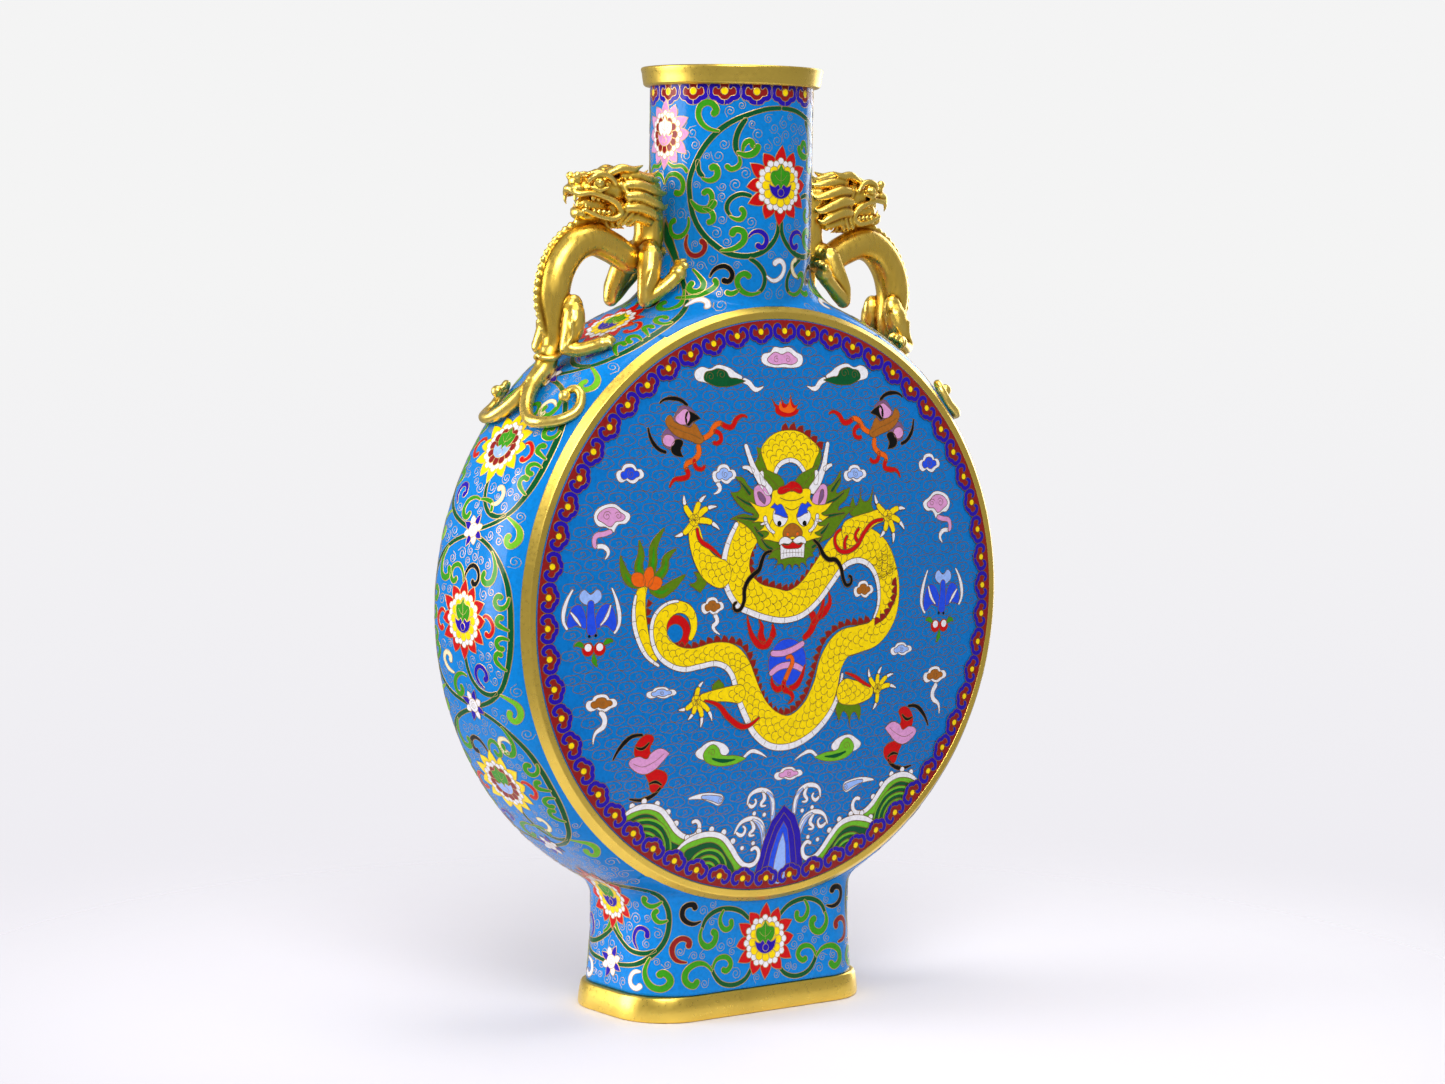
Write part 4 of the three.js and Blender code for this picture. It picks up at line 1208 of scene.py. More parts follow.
# face
flame([(-8, 31), (-13.5, 26, 0), (-7, 25.5), (-9.5, 21, 0), (-4, 23.5), (-2.5, 19.5, 0), (1, 23),
    (3, 20, 0), (5, 23), (8.5, 19.8, 0), (9, 23.5), (13, 20.8, 0), (12.5, 25), (17.5, 26.5, 0), (12, 31)],
    7)
art.cell("yellow", [(-9.5, 61.5), (-3, 62), (3, 61), (9, 62), (15.5, 61.5), (15.3, 57), (18, 54),
    (24, 53.3), (31, 54.8, 0), (25.5, 50), (22.8, 48.6), (28, 47.2, 0), (23, 44.5), (20, 43.2),
    (25, 42.2, 0), (20.5, 39.6), (18, 38.6), (23.5, 36.4, 0), (17.5, 35.6), (11.5, 34.5), (3, 36),
    (-6, 34.8), (-12, 36), (-17, 36.6, 0), (-12.5, 39.4), (-14.5, 41), (-20.5, 40.6, 0), (-15.5, 43.4),
    (-17, 45.6), (-23.3, 45.6, 0), (-18.8, 48.4), (-20, 51), (-25.3, 57, 0), (-17, 53.6), (-12, 54.8),
    (-10.3, 58)], 8)
art.cell("bright_red", [(-6.3, 60.5), (-5.3, 63.3), (-1, 64.3), (3, 66.3), (8, 64.8), (10.3, 61.3),
    (8.5, 59.8), (3, 61.4), (-3, 59.8)], 9)
for points in ([(-5, 58), (-1, 56.6), (3, 56.2), (7, 56.6), (11, 58)], [(-1.5, 53), (3, 51.3), (7.5, 53)],
        [(-3, 62), (0, 62.8), (3, 62), (6, 62.8), (8.5, 61.8)], [(-10, 47), (-12, 43), (-9, 37.5)],
        [(16, 47), (18, 43), (15, 37.5)]):
    art.wire(points, 9, 0.45)
art.cell("white", [(-9.8, 48.5), (-8.5, 44.5), (-5, 42.8), (-1.5, 44.5), (0, 48.5), (-4, 51), (-8, 52)], 9)
art.cell("white", [(6, 48.5), (7.5, 44.5), (11, 42.4), (14.2, 44.8), (15.4, 48.5), (12, 51.5), (9, 51)], 9)
art.disc("black", -5.7, 44.5, 1.5, 10, False)
art.disc("black", 11.2, 44, 1.5, 10, False)
art.cell("royal_blue", [(-11.2, 53, 0), (-8.5, 55.3, 0), (-7, 54), (-4.5, 54.6), (-2.3, 52), (0, 47.3, 0),
    (-3, 47.8), (-6, 49), (-8.6, 49.6, 0), (-8.3, 52)], 10)
art.cell("royal_blue", [(16.2, 53, 0), (13.5, 55.3, 0), (12, 54), (9.5, 54.6), (7.6, 52), (6, 47.3, 0),
    (8.5, 47.8), (11, 49), (13.4, 49.6, 0), (13.2, 52)], 10)
art.stroke("white", [(-15, 48.8), (-14.3, 45.3), (-11.8, 41.5), (-8.7, 39.6)], [2.2, 2, 1.4], 9)
art.stroke("white", [(20, 48.8), (19.5, 45.3), (17.2, 41.5), (14, 39.6)], [2.2, 2, 1.4], 9)
art.stroke("white", [(-18, 44.4), (-13.5, 45.3)], [1, 1.6], 9)
art.stroke("white", [(23, 44.8), (19, 45.5)], [1, 1.6], 9)
art.cell("brown", [(-3.3, 38), (-2, 42), (3, 44.3), (8, 42), (9.7, 38.3), (6.5, 36.2), (3, 37.6),
    (0, 36.2)], 9)
art.disc("orange", -0.3, 38.6, 1.1, 10)
art.disc("orange", 6.3, 38.6, 1.1, 10)
art.cell("white", [(-5.2, 34.5, 0), (-2, 32), (3, 31.2), (8, 32), (11.2, 34.5, 0), (10.6, 26, 0), (3, 26.6),
    (-4.9, 25.6, 0)], 9)
art.cell("bright_red", [(-4.6, 33.8, 0), (0, 32.9), (3, 34.4), (7, 32.9), (10, 33.8, 0), (8, 31.4), (3, 31),
    (-2, 31.4)], 10)
for x in (-3, -1, 1, 3, 5, 7, 9):
    art.wire([(x, 30.6), (x + 0.1, 27)], 9, 0.4)
art.wire([(-4.6, 28.8), (3, 29), (10.4, 28.8)], 9, 0.4)
art.cell("white", [(-5.8, 33.4), (-5, 36.3), (-1.5, 37.4), (2.9, 35.2, 0), (0.5, 33.6), (-3, 34)], 10)
art.cell("white", [(11.8, 33.4), (11, 36.3), (7.5, 37.4), (3, 35.2, 0), (5.5, 33.6), (9, 34)], 10)
art.stroke("black", [(-10.5, 30.3), (-15, 29), (-17.3, 25), (-19, 20.8), (-22.5, 18.5), (-26, 15.5),
    (-28.3, 11), (-28.5, 5), (-31, 0.5), (-34, 0.3), (-35, 3), (-33, 4.5)], [1.4, 2.4, 2.4, 2.2, 2, 1.4], 8)
art.stroke("black", [(17, 35.3), (21, 32), (24, 27), (27.5, 24.3), (32.5, 23.8), (36.3, 19.5), (37.8, 14),
    (40.3, 10), (43.3, 10.8), (43.6, 14), (41.5, 14.8)], [1.4, 2.4, 2.4, 2.2, 2, 1.4], 8)

# The panel's wires take the darker gilding, whose colour is painted shade.
front_art = lay(art, "front_panel", over_panel, 0.008, panel_wire_painted_shade)
for piece in front_art:
    mesh = piece.data.copy()
    for vertex in mesh.vertices:
        vertex.co.x, vertex.co.y = -vertex.co.x, -vertex.co.y
    twin = new_object(piece.name.replace("front", "rear"), mesh)
    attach(twin, "root")


# ------------------------------------------------------------------ rings and rims
# Gilded copper strips, turned and brushed: a ring round each panel, the mouth rim and the foot rim.
# Each is soldered over an edge of the enamelled wall.

def turned(name, profile, axis, steps, rounding, replaced):
    """A closed section spun round the Y axis (through the drum's centre) or the Z axis."""
    shape = bmesh.new()
    corners = [shape.verts.new(point) for point in profile]
    for i, corner in enumerate(corners):
        shape.edges.new((corner, corners[(i + 1) % len(corners)]))
    bmesh.ops.spin(shape, geom=shape.verts[:] + shape.edges[:], axis=axis, cent=(0, 0, 0),
        angle=2 * math.pi, steps=steps, use_merge=True)
    bmesh.ops.remove_doubles(shape, verts=shape.verts, dist=1e-6)
    bmesh.ops.recalc_face_normals(shape, faces=shape.faces)
    return finish_gilt(name, shape, rounding, replaced)


def finish_gilt(name, shape, rounding, replaced):
    piece = new_object(name, mesh_from(shape, name))
    piece.data.materials.append(gold_strip)
    soften = piece.modifiers.new("soft_edges", "BEVEL")
    soften.width = rounding
    soften.segments = 3
    soften.limit_method = "ANGLE"
    soften.angle_limit = math.radians(20)
    soften.harden_normals = True
    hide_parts(replaced)
    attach(piece, "root")
    return piece


ring_face = [(151.0, 43.45), (151.0, 39.5), (154.7, 36.6), (158.3, 36.6), (158.3, 39.3), (154.7, 43.2)]
for word, side in (("front", -1), ("rear", 1)):
    profile = [(radius * MM, side * depth * MM, 0) for radius, depth in ring_face]
    ring = turned(word + "_ring_gilt", profile, (0, 1, 0), 200, 0.0005, word + "_ring")
    for vertex in ring.data.vertices:
        vertex.co.z += DRUM_HEIGHT

rim_section = [(41.3, 489.9), (45.9, 489.9), (47.0, 490.8), (47.5, 493.5), (47.9, 496.8), (48.45, 498.6),
    (48.45, 499.3), (47.9, 500.0), (42.1, 500.0), (41.3, 499.2)]
turned("mouth_rim_gilt", [(radius * MM, 0, height * MM) for radius, height in rim_section], (0, 0, 1), 144,
    0.0004, "mouth_rim")


def oblong_loop(shape, half_width, half_depth, corner, height):
    """One loop of vertices round the foot, with round corners."""
    loop = []
    for quarter in range(4):
        sign_x = 1 if quarter in (0, 3) else -1
        sign_y = 1 if quarter < 2 else -1
        for i in range(13):
            turn = (quarter + i / 12) * math.pi / 2
            loop.append(shape.verts.new((sign_x * (half_width - corner) + corner * math.cos(turn),
                sign_y * (half_depth - corner) + corner * math.sin(turn), height)))
    return [shape.edges.new((loop[i], loop[(i + 1) % len(loop)])) for i in range(len(loop))]


# inset from the foot's widest outline, and height
foot_rim_section = [(1.2, 0), (0.3, 0.5), (0, 2.0), (0.5, 7), (1.3, 11.6), (2.0, 13.0), (3.0, 13.5),
    (7.2, 13.5), (7.2, 0)]
foot_shape = bmesh.new()
loops = [oblong_loop(foot_shape, (77.2 - inset) * MM, (43.3 - inset) * MM, (29.7 - inset) * MM,
    height * MM) for inset, height in foot_rim_section]
for lower, upper in zip(loops, loops[1:] + loops[:1]):
    bmesh.ops.bridge_loops(foot_shape, edges=lower + upper)
bmesh.ops.recalc_face_normals(foot_shape, faces=foot_shape.faces)
finish_gilt("foot_rim_gilt", foot_shape, 0.0004, "foot_rim")


# ------------------------------------------------------------------ lotus scroll on the wall
# Scrolling vines with lotus flowers, buds, curled leaves and coloured hooks, in enamel cells.
# Wire spirals between them hold the sky-blue ground.

def lotus(work, level, petal, ring, crown, cup):
    """A full flower about the origin: pointed petals, white inner petals, a lobed ring and a seed cup."""
    for k in range(12):
        turn = math.radians(90 + 30 * k)
        out = np.array([math.cos(turn), math.sin(turn)])
        across = np.array([-out[1], out[0]])
        reach = 21 if k % 2 == 0 else 19.6
        lean = 0.9 * (1 if k % 2 else -1)
        shape = [(*(out * reach + across * lean), 0), tuple(out * 15.5 + across * 3.3),
            tuple(out * 11.5 + across * 3.2), tuple(out * 9), tuple(out * 11.5 - across * 3.2),
            tuple(out * 15.5 - across * 3.3)]
        work.cell(petal, shape, level)
        work.disc("white", *(out * 12.6), 2, level + 1)
    for k in range(12):
        turn = math.radians(75 + 30 * k)
        work.disc("white", 11.4 * math.cos(turn), 11.4 * math.sin(turn), 1.9, level + 2)
    for k in range(12):
        turn = math.radians(90 + 30 * k)
        work.disc(ring, 8.7 * math.cos(turn), 8.7 * math.sin(turn), 2.5, level + 3)
    work.disc(ring, 0, 0, 8, level + 3, False)
    work.cell(crown, [(0, 11.5, 0), (-2.2, 8), (-5.8, 7), (-6, 2.5), (-2.5, -1), (2.5, -1), (6, 2.5),
        (5.8, 7), (2.2, 8)], level + 4)
    work.wire([(0, 9), (0, 1)], level + 4, 0.4)
    work.wire([(-4, 5.5), (0, 2.5), (4, 5.5)], level + 4, 0.4)
    work.cell(cup, [(-7.2, 0.6, 0), (-3.6, -0.8), (-1.8, 0.6), (0, -1.6), (1.8, 0.6), (3.6, -0.8),
        (7.2, 0.6, 0), (5.2, -4.6), (0, -6.8), (-5.2, -4.6)], level + 5)
    work.disc(cup, 0, -3.6, 2, level + 6)


def bud(work, level):
    for k in range(8):
        turn = math.radians(22 + 45 * k)
        out = np.array([math.cos(turn), math.sin(turn)])
        across = np.array([-out[1], out[0]])
        reach = 9.5 if k % 2 else 8
        work.cell("cobalt" if k % 2 else "white", [(*(out * reach), 0), tuple(out * 5.5 + across * 1.9),
            tuple(out * 2 + across), tuple(out * 2 - across), tuple(out * 5.5 - across * 1.9)], level)
    work.disc("white", 0, 0, 3.7, level + 1)
    work.spiral(0, 0, 2.6, 1.5, 60, 1, level=level + 1)


def hook(work, color, points, broad=2.3):
    work.stroke(color, points, [1, broad * 0.9, broad * 1.1, broad * 1.1, broad * 1.1, broad * 1.5], 2)


def leaf(work, points, broad=3, color="leaf_green"):
    work.stroke(color, points, [1.2, broad * 0.75, broad * 1.05, broad * 1.1, broad * 1.1, broad * 1.25], 2)


def vine(work, points, width=2.2):
    work.stroke("dark_green", points, [width, width * 1.2, width * 1.2, width * 1.2, width * 0.9], 1)


def fill_with_spirals(work, low, high, inside, seed=3):
    """Sets wire spirals wherever the drawn cells leave room."""
    drawn = np.concatenate([line for line, *_ in work.wires])
    chooser = np.random.default_rng(seed)
    work.at()
    placed = []
    step = 6.6 * 0.45
    for y in np.arange(low[1], high[1], step):
        for x in np.arange(low[0], high[0], step):
            spot = np.array([x, y]) + chooser.uniform(-1, 1, 2)
            if not inside(*spot):
                continue
            room = np.hypot(*(drawn - spot).T).min() - 0.6
            if placed:
                room = min(room, (np.hypot(*(np.array(placed)[:, :2] - spot).T) - np.array(placed)[:,
                    2]).min() - 0.3)
            if room > 2.1:
                radius = min(room, 3.6)
                placed.append((*spot, radius))
                hand = 1 if chooser.random() < 0.5 else -1
                work.spiral(*spot, radius, 1.6, chooser.uniform(0, 360), hand, tail=chooser.uniform(0, 2.4))


def scroll_loop(work, kind):
    """One oval of vine about a lotus, as it runs down the side of the drum; both halves alike."""
    for _ in range(2):
        vine(work, [(0, 44), (10, 41.5), (19, 37.5), (27, 31), (32.5, 22), (35, 11), (35.6, 0), (35, -13),
            (32.5, -24), (28, -33), (20, -39.5), (10, -43.5), (0, -46)])
        leaf(work, [(20, 36.5), (24.5, 29), (23.5, 22), (19, 20), (15.5, 22.5), (17.5, 26)])
        leaf(work, [(34.5, 14.5), (33, 9.5), (29, 8.3), (26.5, 11.5), (28.6, 14.5), (31, 13)], 2.6)
        leaf(work, [(35, -3), (31.5, -1.5), (28.3, 0.5), (29.6, 3.6), (32, 2.6)], 2.6)
        leaf(work, [(34.8, -8), (30.5, -7), (27.6, -9.5), (29.6, -12.6), (32, -11.6)], 2.6)
        leaf(work, [(32.4, -24), (28.8, -21.6), (26, -18), (28, -15), (30.6, -16.6)], 2.6)
        leaf(work, [(25.5, -37), (30, -39), (34.4, -42.5), (35, -48), (31.4, -51.5), (28.6, -48.6),
            (30.6, -45.6)], 2.8, "lime_green")
        hook(work, "bright_red", [(17, 1.2), (20, 3.6), (24, 1.6), (25.6, -2.6), (22.6, -6.4),
            (19.4, -4.6)])
        work.turn_over()
    vine(work, [(0, -17), (0.5, -24), (3.5, -31), (9.5, -36), (17, -37.6), (24, -36)])
    if kind == "red":
        lotus(work, 3, "bright_red", "yellow", "leaf_green", "cobalt")
        hook(work, "black", [(-0.5, 19), (0, 24), (4.5, 28), (10, 26.6), (12, 22), (9, 18.6), (6, 21)])
        leaf(work, [(-1.6, 19), (-3, 24.5), (-7.5, 27.6), (-12.4, 26), (-13.6, 21.4), (-10.4, 18.8),
            (-8, 21.4)], 2.4)
        hook(work, "cobalt", [(14, -34.6), (9, -31), (8, -26.4), (11.4, -23), (16, -24), (17.6, -28),
            (14.4, -30)])
        hook(work, "cream", [(-12.6, -29), (-18.6, -26.6), (-21, -21.6), (-18, -18.4), (-14.4, -20.4),
            (-15.6, -23.4)])
        leaf(work, [(-1, -29.5), (-6, -28.4), (-11.6, -31), (-14, -36), (-11.6, -40), (-7.6, -38),
            (-9, -34.8)], 2.6)
    else:
        lotus(work, 3, "yellow", "brick_red", "leaf_green", "pale_blue")
        hook(work, "black", [(-1, 19), (-3.6, 24.5), (-8.4, 27), (-13.4, 24.6), (-13.4, 19.6),
            (-9.6, 18.4)])
        leaf(work, [(1, 19), (3, 24.6), (7.6, 27), (11.6, 24), (11, 19.4), (7.4, 18.6), (6.4, 21.6)], 2.4)
        hook(work, "cream", [(24, 26.5), (19.6, 29.4), (15, 28.4), (13.4, 24), (16, 20.6), (19, 22.4)])
        hook(work, "cream", [(9.5, -31.4), (14.6, -30.6), (17.4, -26.6), (15, -22.6), (10.8, -23.4)])
        leaf(work, [(-1, -29.6), (4.6, -29.6), (10, -31), (11.6, -35.8)], 2.2)
        leaf(work, [(-1, -30), (-6.4, -29), (-12, -31.6), (-13.4, -37), (-9.6, -40), (-6.8, -36.6)], 2.6)
        hook(work, "cobalt", [(-22, -33), (-24.6, -28), (-22.6, -23.4), (-18, -23), (-16.6, -27),
            (-19.4, -28.6)])


for side, word in ((-1, "left"), (1, "right")):
    band_art = Work(1.3)
    turn = 90 * side
    for number, middle in enumerate((80, 172, 264, 355)):
        band_art.at(side * middle, 0, turn=turn, flip=side > 0)
        scroll_loop(band_art, "yellow" if number % 2 else "red")
    for middle in (126, 218, 309, 401):
        band_art.at(side * middle, 0, turn=turn, flip=side > 0)
        bud(band_art, 4)
    band_art.at(side * 80, 0, turn=turn, flip=side > 0)
    low, high = sorted((side * 62, side * 436))
    fill_with_spirals(band_art, (low, -36), (high, 36), lambda x, y: abs(y) < 35.5)
    lay(band_art, word + "_band", along_band, 0.0016, gold_wire)


def neck_side(work):
    vine(work, [(-1, 420), (-1.6, 413), (-5.5, 407), (-12, 402.5), (-20, 401), (-29, 402.5), (-37, 407.5),
        (-43.5, 414), (-48, 422), (-50, 431), (-50.4, 440), (-47.6, 448), (-42.8, 456.6), (-36, 464.5),
        (-28, 470.4), (-19, 474.4), (-9, 477.4), (0, 478.2)], 2.4)
    vine(work, [(-20, 472.6), (-24.6, 465), (-25.6, 457.6), (-23.4, 453)], 2.4)
    vine(work, [(-45.6, 451), (-45, 445), (-42, 441.6)], 2.2)
    leaf(work, [(-43.4, 441.4), (-38.6, 440), (-35, 442.6), (-36, 447), (-39, 445.6)])
    leaf(work, [(-34, 465.6), (-41, 467.4), (-45.4, 472.6), (-44.6, 478.4), (-39.6, 480.4), (-36, 476.6),
        (-38.6, 474)])
    leaf(work, [(-25, 455), (-20, 453.4), (-15.4, 455), (-13.6, 459.4)], 3.2)
    leaf(work, [(-22, 455), (-20.6, 459.6), (-17.6, 460.6), (-16.6, 457)], 2.6)
    leaf(work, [(-24, 453), (-23.4, 448.6), (-27.4, 446), (-30.6, 448.4)], 2.4)
    leaf(work, [(-49.6, 430), (-45, 425.6), (-39.6, 425.4), (-36, 430)], 3.4)
    leaf(work, [(-40, 426), (-37.6, 431), (-39.6, 434.6), (-42.8, 432.6)], 2.6)
    leaf(work, [(-42.6, 425.6), (-37.6, 423.4), (-37, 419.4), (-40.4, 418.4)], 2.6)
    leaf(work, [(-33, 403.8), (-25.6, 405), (-20.6, 409), (-21, 413.6), (-25.6, 414.4), (-26.6, 411)])
    vine(work, [(-16.6, 432), (-22.6, 433.2), (-28, 430.4), (-29.8, 425.6), (-27.4, 421.6)], 2)
    leaf(work, [(-28.4, 421.8), (-23, 420), (-20.6, 423.2), (-23, 426.2)], 2.4)
    hook(work, "cobalt", [(-18.4, 410.6), (-15, 413.8), (-10.4, 413.4), (-8, 409.6), (-10.4, 405.8),
        (-14, 407.6)])
    hook(work, "brick_red", [(-51, 412), (-52, 406), (-48.4, 401.2), (-43, 402), (-41, 406.4), (-44, 409)])
    hook(work, "black", [(-38.4, 389.6), (-35.4, 394.2), (-30, 395.6), (-26.4, 392), (-28, 388),
        (-32, 388.8)])
    vine(work, [(-17.6, 400), (-12, 396.4), (-8, 390.6), (-8.6, 384.6), (-12.6, 381.4)], 2)
    leaf(work, [(-10, 382.6), (-16, 381.2), (-21.6, 383.6), (-23.6, 388.8), (-20, 392), (-16.4, 389.6)],
        2.6)
    leaf(work, [(-22, 384), (-26.6, 381.4), (-30, 382.6)], 2.4)
    leaf(work, [(-47.6, 394), (-44, 390.6), (-41, 386), (-43.4, 382.2), (-47.6, 383.8), (-46, 387.4)], 2.6)
    leaf(work, [(-52, 379), (-45, 379.6), (-38.6, 382.4), (-34.6, 386.4), (-36.6, 389)], 2.4)
    hook(work, "white", [(-46, 374.6), (-42.6, 378), (-38.6, 377.4), (-37, 373.6)], 2)
    leaf(work, [(-68, 438), (-64.6, 442.6), (-58.6, 443), (-54.4, 439), (-55.6, 433.8), (-60.4, 434)], 2.6)
    leaf(work, [(-50.6, 421), (-51, 415.4), (-55, 411), (-61, 411.6), (-62.6, 417), (-58.6, 419.6)], 2.4)
    leaf(work, [(-68, 452), (-62, 447.6), (-55, 447.4), (-51.6, 444)], 1.8)


neck_art = Work(1.3)
neck_round = 2 * math.pi * NECK_RADIUS / MM
for facing in range(2):
    middle = facing * neck_round / 2
    neck_art.at(middle)
    for _ in range(2):
        neck_art.turn_over()
        neck_side(neck_art)
    hook(neck_art, "white", [(-7, 391), (-2, 388.4), (3, 391), (4, 396), (0.4, 399), (-3.4, 396.6)])
    hook(neck_art, "cream", [(17, 390), (12, 392.6), (10, 397.4), (13.6, 400)], 2)
    neck_art.at(middle, 438)
    lotus(neck_art, 3, "bright_red", "yellow", "leaf_green", "cobalt")
    neck_art.at(middle + neck_round / 4, 464, size=0.88)
    lotus(neck_art, 3, "pink", "brick_red", "white", "pink")
for k in range(16):
    neck_art.at((k + 0.13) * neck_round / 16 - neck_round / 2, 486.8, size=1.14)
    ruyi_head(neck_art, 1)
neck_art.at()
belt = np.stack([np.linspace(-neck_round / 2, neck_round / 2, 160), np.full(160, 487.6)], 1)
neck_art.bands.setdefault("brick_red", []).append((belt + (0, 2.2), belt, 1))
fill_with_spirals(neck_art, (-neck_round / 2, 372), (neck_round / 2, 481),
    lambda x, y: y > 380 or (y > 374 and 24 < abs((x + 68) % 136 - 68) < 52), seed=5)
lay(neck_art, "neck", around_neck, 0.0016, gold_wire)


def foot_half(work):
    vine(work, [(-10, 50), (-16, 55), (-24, 57.4), (-32, 57), (-38.6, 53.4), (-41.6, 47.6)], 2.1)
    leaf(work, [(-41.4, 49), (-42.4, 43), (-38.6, 38.6), (-33.6, 40), (-32.4, 44.6), (-35.6, 46)], 3.2)
    leaf(work, [(-27, 57), (-29.6, 51.6), (-26.8, 46.6), (-22.4, 47.4), (-22.6, 51.6)], 2.6)
    vine(work, [(-9, 24), (-13.6, 18.6), (-21, 16.4), (-29, 18.2), (-34, 23.6), (-35, 28.4)], 2.1)
    leaf(work, [(-34.8, 26), (-31.8, 31), (-25.6, 31.6), (-22.6, 27.8), (-25.6, 24.4), (-28.6, 26)], 2.6)
    leaf(work, [(-35, 25), (-39.6, 29.4), (-46, 30), (-51.2, 26.6), (-51.6, 21.6), (-47.4, 18.8),
        (-44.4, 22)])
    hook(work, "brick_red", [(-50.6, 31.4), (-57, 33.4), (-58.6, 39.4), (-54.6, 44), (-49.6, 42.6),
        (-50.4, 38.8)], 2.6)
    hook(work, "black", [(-42, 52.4), (-48, 51.6), (-53, 55), (-52.6, 60.4), (-47.6, 61.8), (-45.6, 58.6)],
        2.6)
    vine(work, [(-98.8, 70), (-80, 72), (-68, 69), (-61.6, 61), (-60.4, 52), (-62.6, 43), (-68, 36),
        (-77, 30), (-88, 27.6), (-98.8, 27)], 2.2)
    vine(work, [(-98.8, 46), (-91.6, 40.6), (-83, 36.4), (-74, 35.6), (-67, 38)], 2.1)
    leaf(work, [(-64, 64), (-69.6, 61), (-73.6, 63), (-72, 66.4)], 2.4)
    leaf(work, [(-61, 54), (-66, 53), (-68.6, 56.6), (-66, 59.4)], 2.4)
    hook(work, "cobalt", [(-77.6, 37.4), (-80.4, 43), (-77.6, 48.6), (-72.6, 48), (-72.4, 43.8)], 2.2)
    leaf(work, [(-70, 34), (-72.8, 26), (-69.6, 19.4), (-63.6, 17.8), (-59.4, 21.6), (-62.4, 26),
        (-66, 24)], 3.2)
    hook(work, "white", [(-75, 26), (-80, 24.6), (-81.4, 19.6), (-77.6, 16.8), (-74.4, 19.4)], 2.1)
    leaf(work, [(-90, 42), (-95, 46), (-97, 52), (-93, 55)], 2.2)


foot_art = Work(1.3)
foot_round = 4 * (FOOT_HALF_WIDTH + FOOT_HALF_DEPTH - (2 - math.pi / 2) * FOOT_CORNER) / MM
for facing in range(2):
    middle = facing * foot_round / 2
    foot_art.at(middle)
    for _ in range(2):
        foot_art.turn_over()
        foot_half(foot_art)
    foot_art.at(middle + 0.5, 37.5, size=0.98)
    lotus(foot_art, 3, "bright_red", "yellow", "leaf_green", "cobalt")
    foot_art.at(middle + foot_round / 4, 63, size=0.86)
    lotus(foot_art, 3, "bright_red", "yellow", "leaf_green", "cobalt")
    foot_art.at(middle + foot_round / 4, 27.6)
    bud(foot_art, 4)


def foot_room(x, y):
    side_on = abs((x + foot_round / 4) % (foot_round / 2) - foot_round / 4)
    return 17 < y < (55.5 if side_on < 30 else 62)


fill_with_spirals(foot_art, (-foot_round / 2, 16), (foot_round / 2, 66), foot_room, seed=9)
lay(foot_art, "foot", around_foot, 0.0016, gold_wire)


# ------------------------------------------------------------------ beast handles
# Two lost-wax castings, chased, fire-gilt and pinned to the wall: a horned beast arching from neck to
# shoulder, its tail parting into two curls. Their gold is painted darker in the hollows, as painted shade.

def smooth_path(stations, step):
    """Evenly fine stations (x, y, z, radius) along a flowing path, in millimetres."""
    points = np.array(stations, float)
    path = []
    for i in range(len(points) - 1):
        before = points[max(i - 1, 0)]
        a, b = points[i], points[i + 1]
        after = points[min(i + 2, len(points) - 1)]
        pieces = max(2, math.ceil(np.linalg.norm(b[:3] - a[:3]) / step))
        for k in range(pieces):
            t = k / pieces
            path.append(0.5 * (2 * a + (b - before) * t + (2 * before - 5 * a + 4 * b - after) * t ** 2 +
                (3 * a - before - 3 * b + after) * t ** 3))
    path.append(points[-1])
    return np.array(path)


def ball(whole, centre, radii, tilt=0, fine=14):
    """An egg: centre, half-sizes; tilt lifts its nose, in degrees."""
    matrix = (Matrix.Translation(Vector(centre) * MM) @ Matrix.Rotation(math.radians(-tilt), 4,
        "Y") @ Matrix.Diagonal((*(Vector(radii) * MM), 1)))
    shape = bmesh.new()
    bmesh.ops.create_uvsphere(shape, u_segments=fine, v_segments=fine // 2 + 1, radius=1, matrix=matrix)
    add(whole, shape)


def limb(whole, stations, step=1.6, sides=16, side=1):
    """A round limb swept along stations, closed by balls at its ends; side -1 mirrors it in Y."""
    path = smooth_path([(x, side * y, z, radius) for x, y, z, radius in stations], step)
    shape = bmesh.new()
    loops = []
    for i, (x, y, z, radius) in enumerate(path):
        way = Vector(path[min(i + 1, len(path) - 1)][:3] - path[max(i - 1, 0)][:3])
        matrix = (Matrix.Translation(Vector((x, y, z)) * MM) @ way.to_track_quat("Z",
            "Y").to_matrix().to_4x4())
        last = i in (0, len(path) - 1)
        made = bmesh.ops.create_circle(shape, cap_ends=last, segments=sides, radius=max(radius, 0.3) * MM,
            matrix=matrix)
        ring = set(made["verts"])
        loops.append([edge for vertex in ring for edge in vertex.link_edges if edge.verts[0] in ring and
            edge.verts[1] in ring and vertex == edge.verts[0]])
    for lower, upper in zip(loops, loops[1:]):
        bmesh.ops.bridge_loops(shape, edges=lower + upper)
    for x, y, z, radius in (path[0], path[-1]):
        ball(shape, (x, y, z), (radius, radius, radius), fine=8)
    add(whole, shape)


def over_band(angle, depth, rise, radius):
    """A station at an angle from the top of the drum and a depth, rise above the band."""
    reach = 167 + rise - 8.65 * (abs(depth) / (RING_EDGE_DEPTH / MM)) ** 4.5
    turn = math.radians(angle)
    return (reach * math.sin(turn), depth, DRUM_HEIGHT / MM + reach * math.cos(turn), radius)


torso_line = [(53.5, 0, 403, 8), (65, 0, 398.8, 7.8), (77, 0, 404.5, 8.2), (89, 0, 408.5, 8.6),
    (101, 0, 405, 9), (110, 0, 394.5, 9.2), (113.6, 0, 381, 9), (112, 0, 367, 7.8), (112.4, 0, 356, 6),
    (115.2, 0, 348.5, 5)]


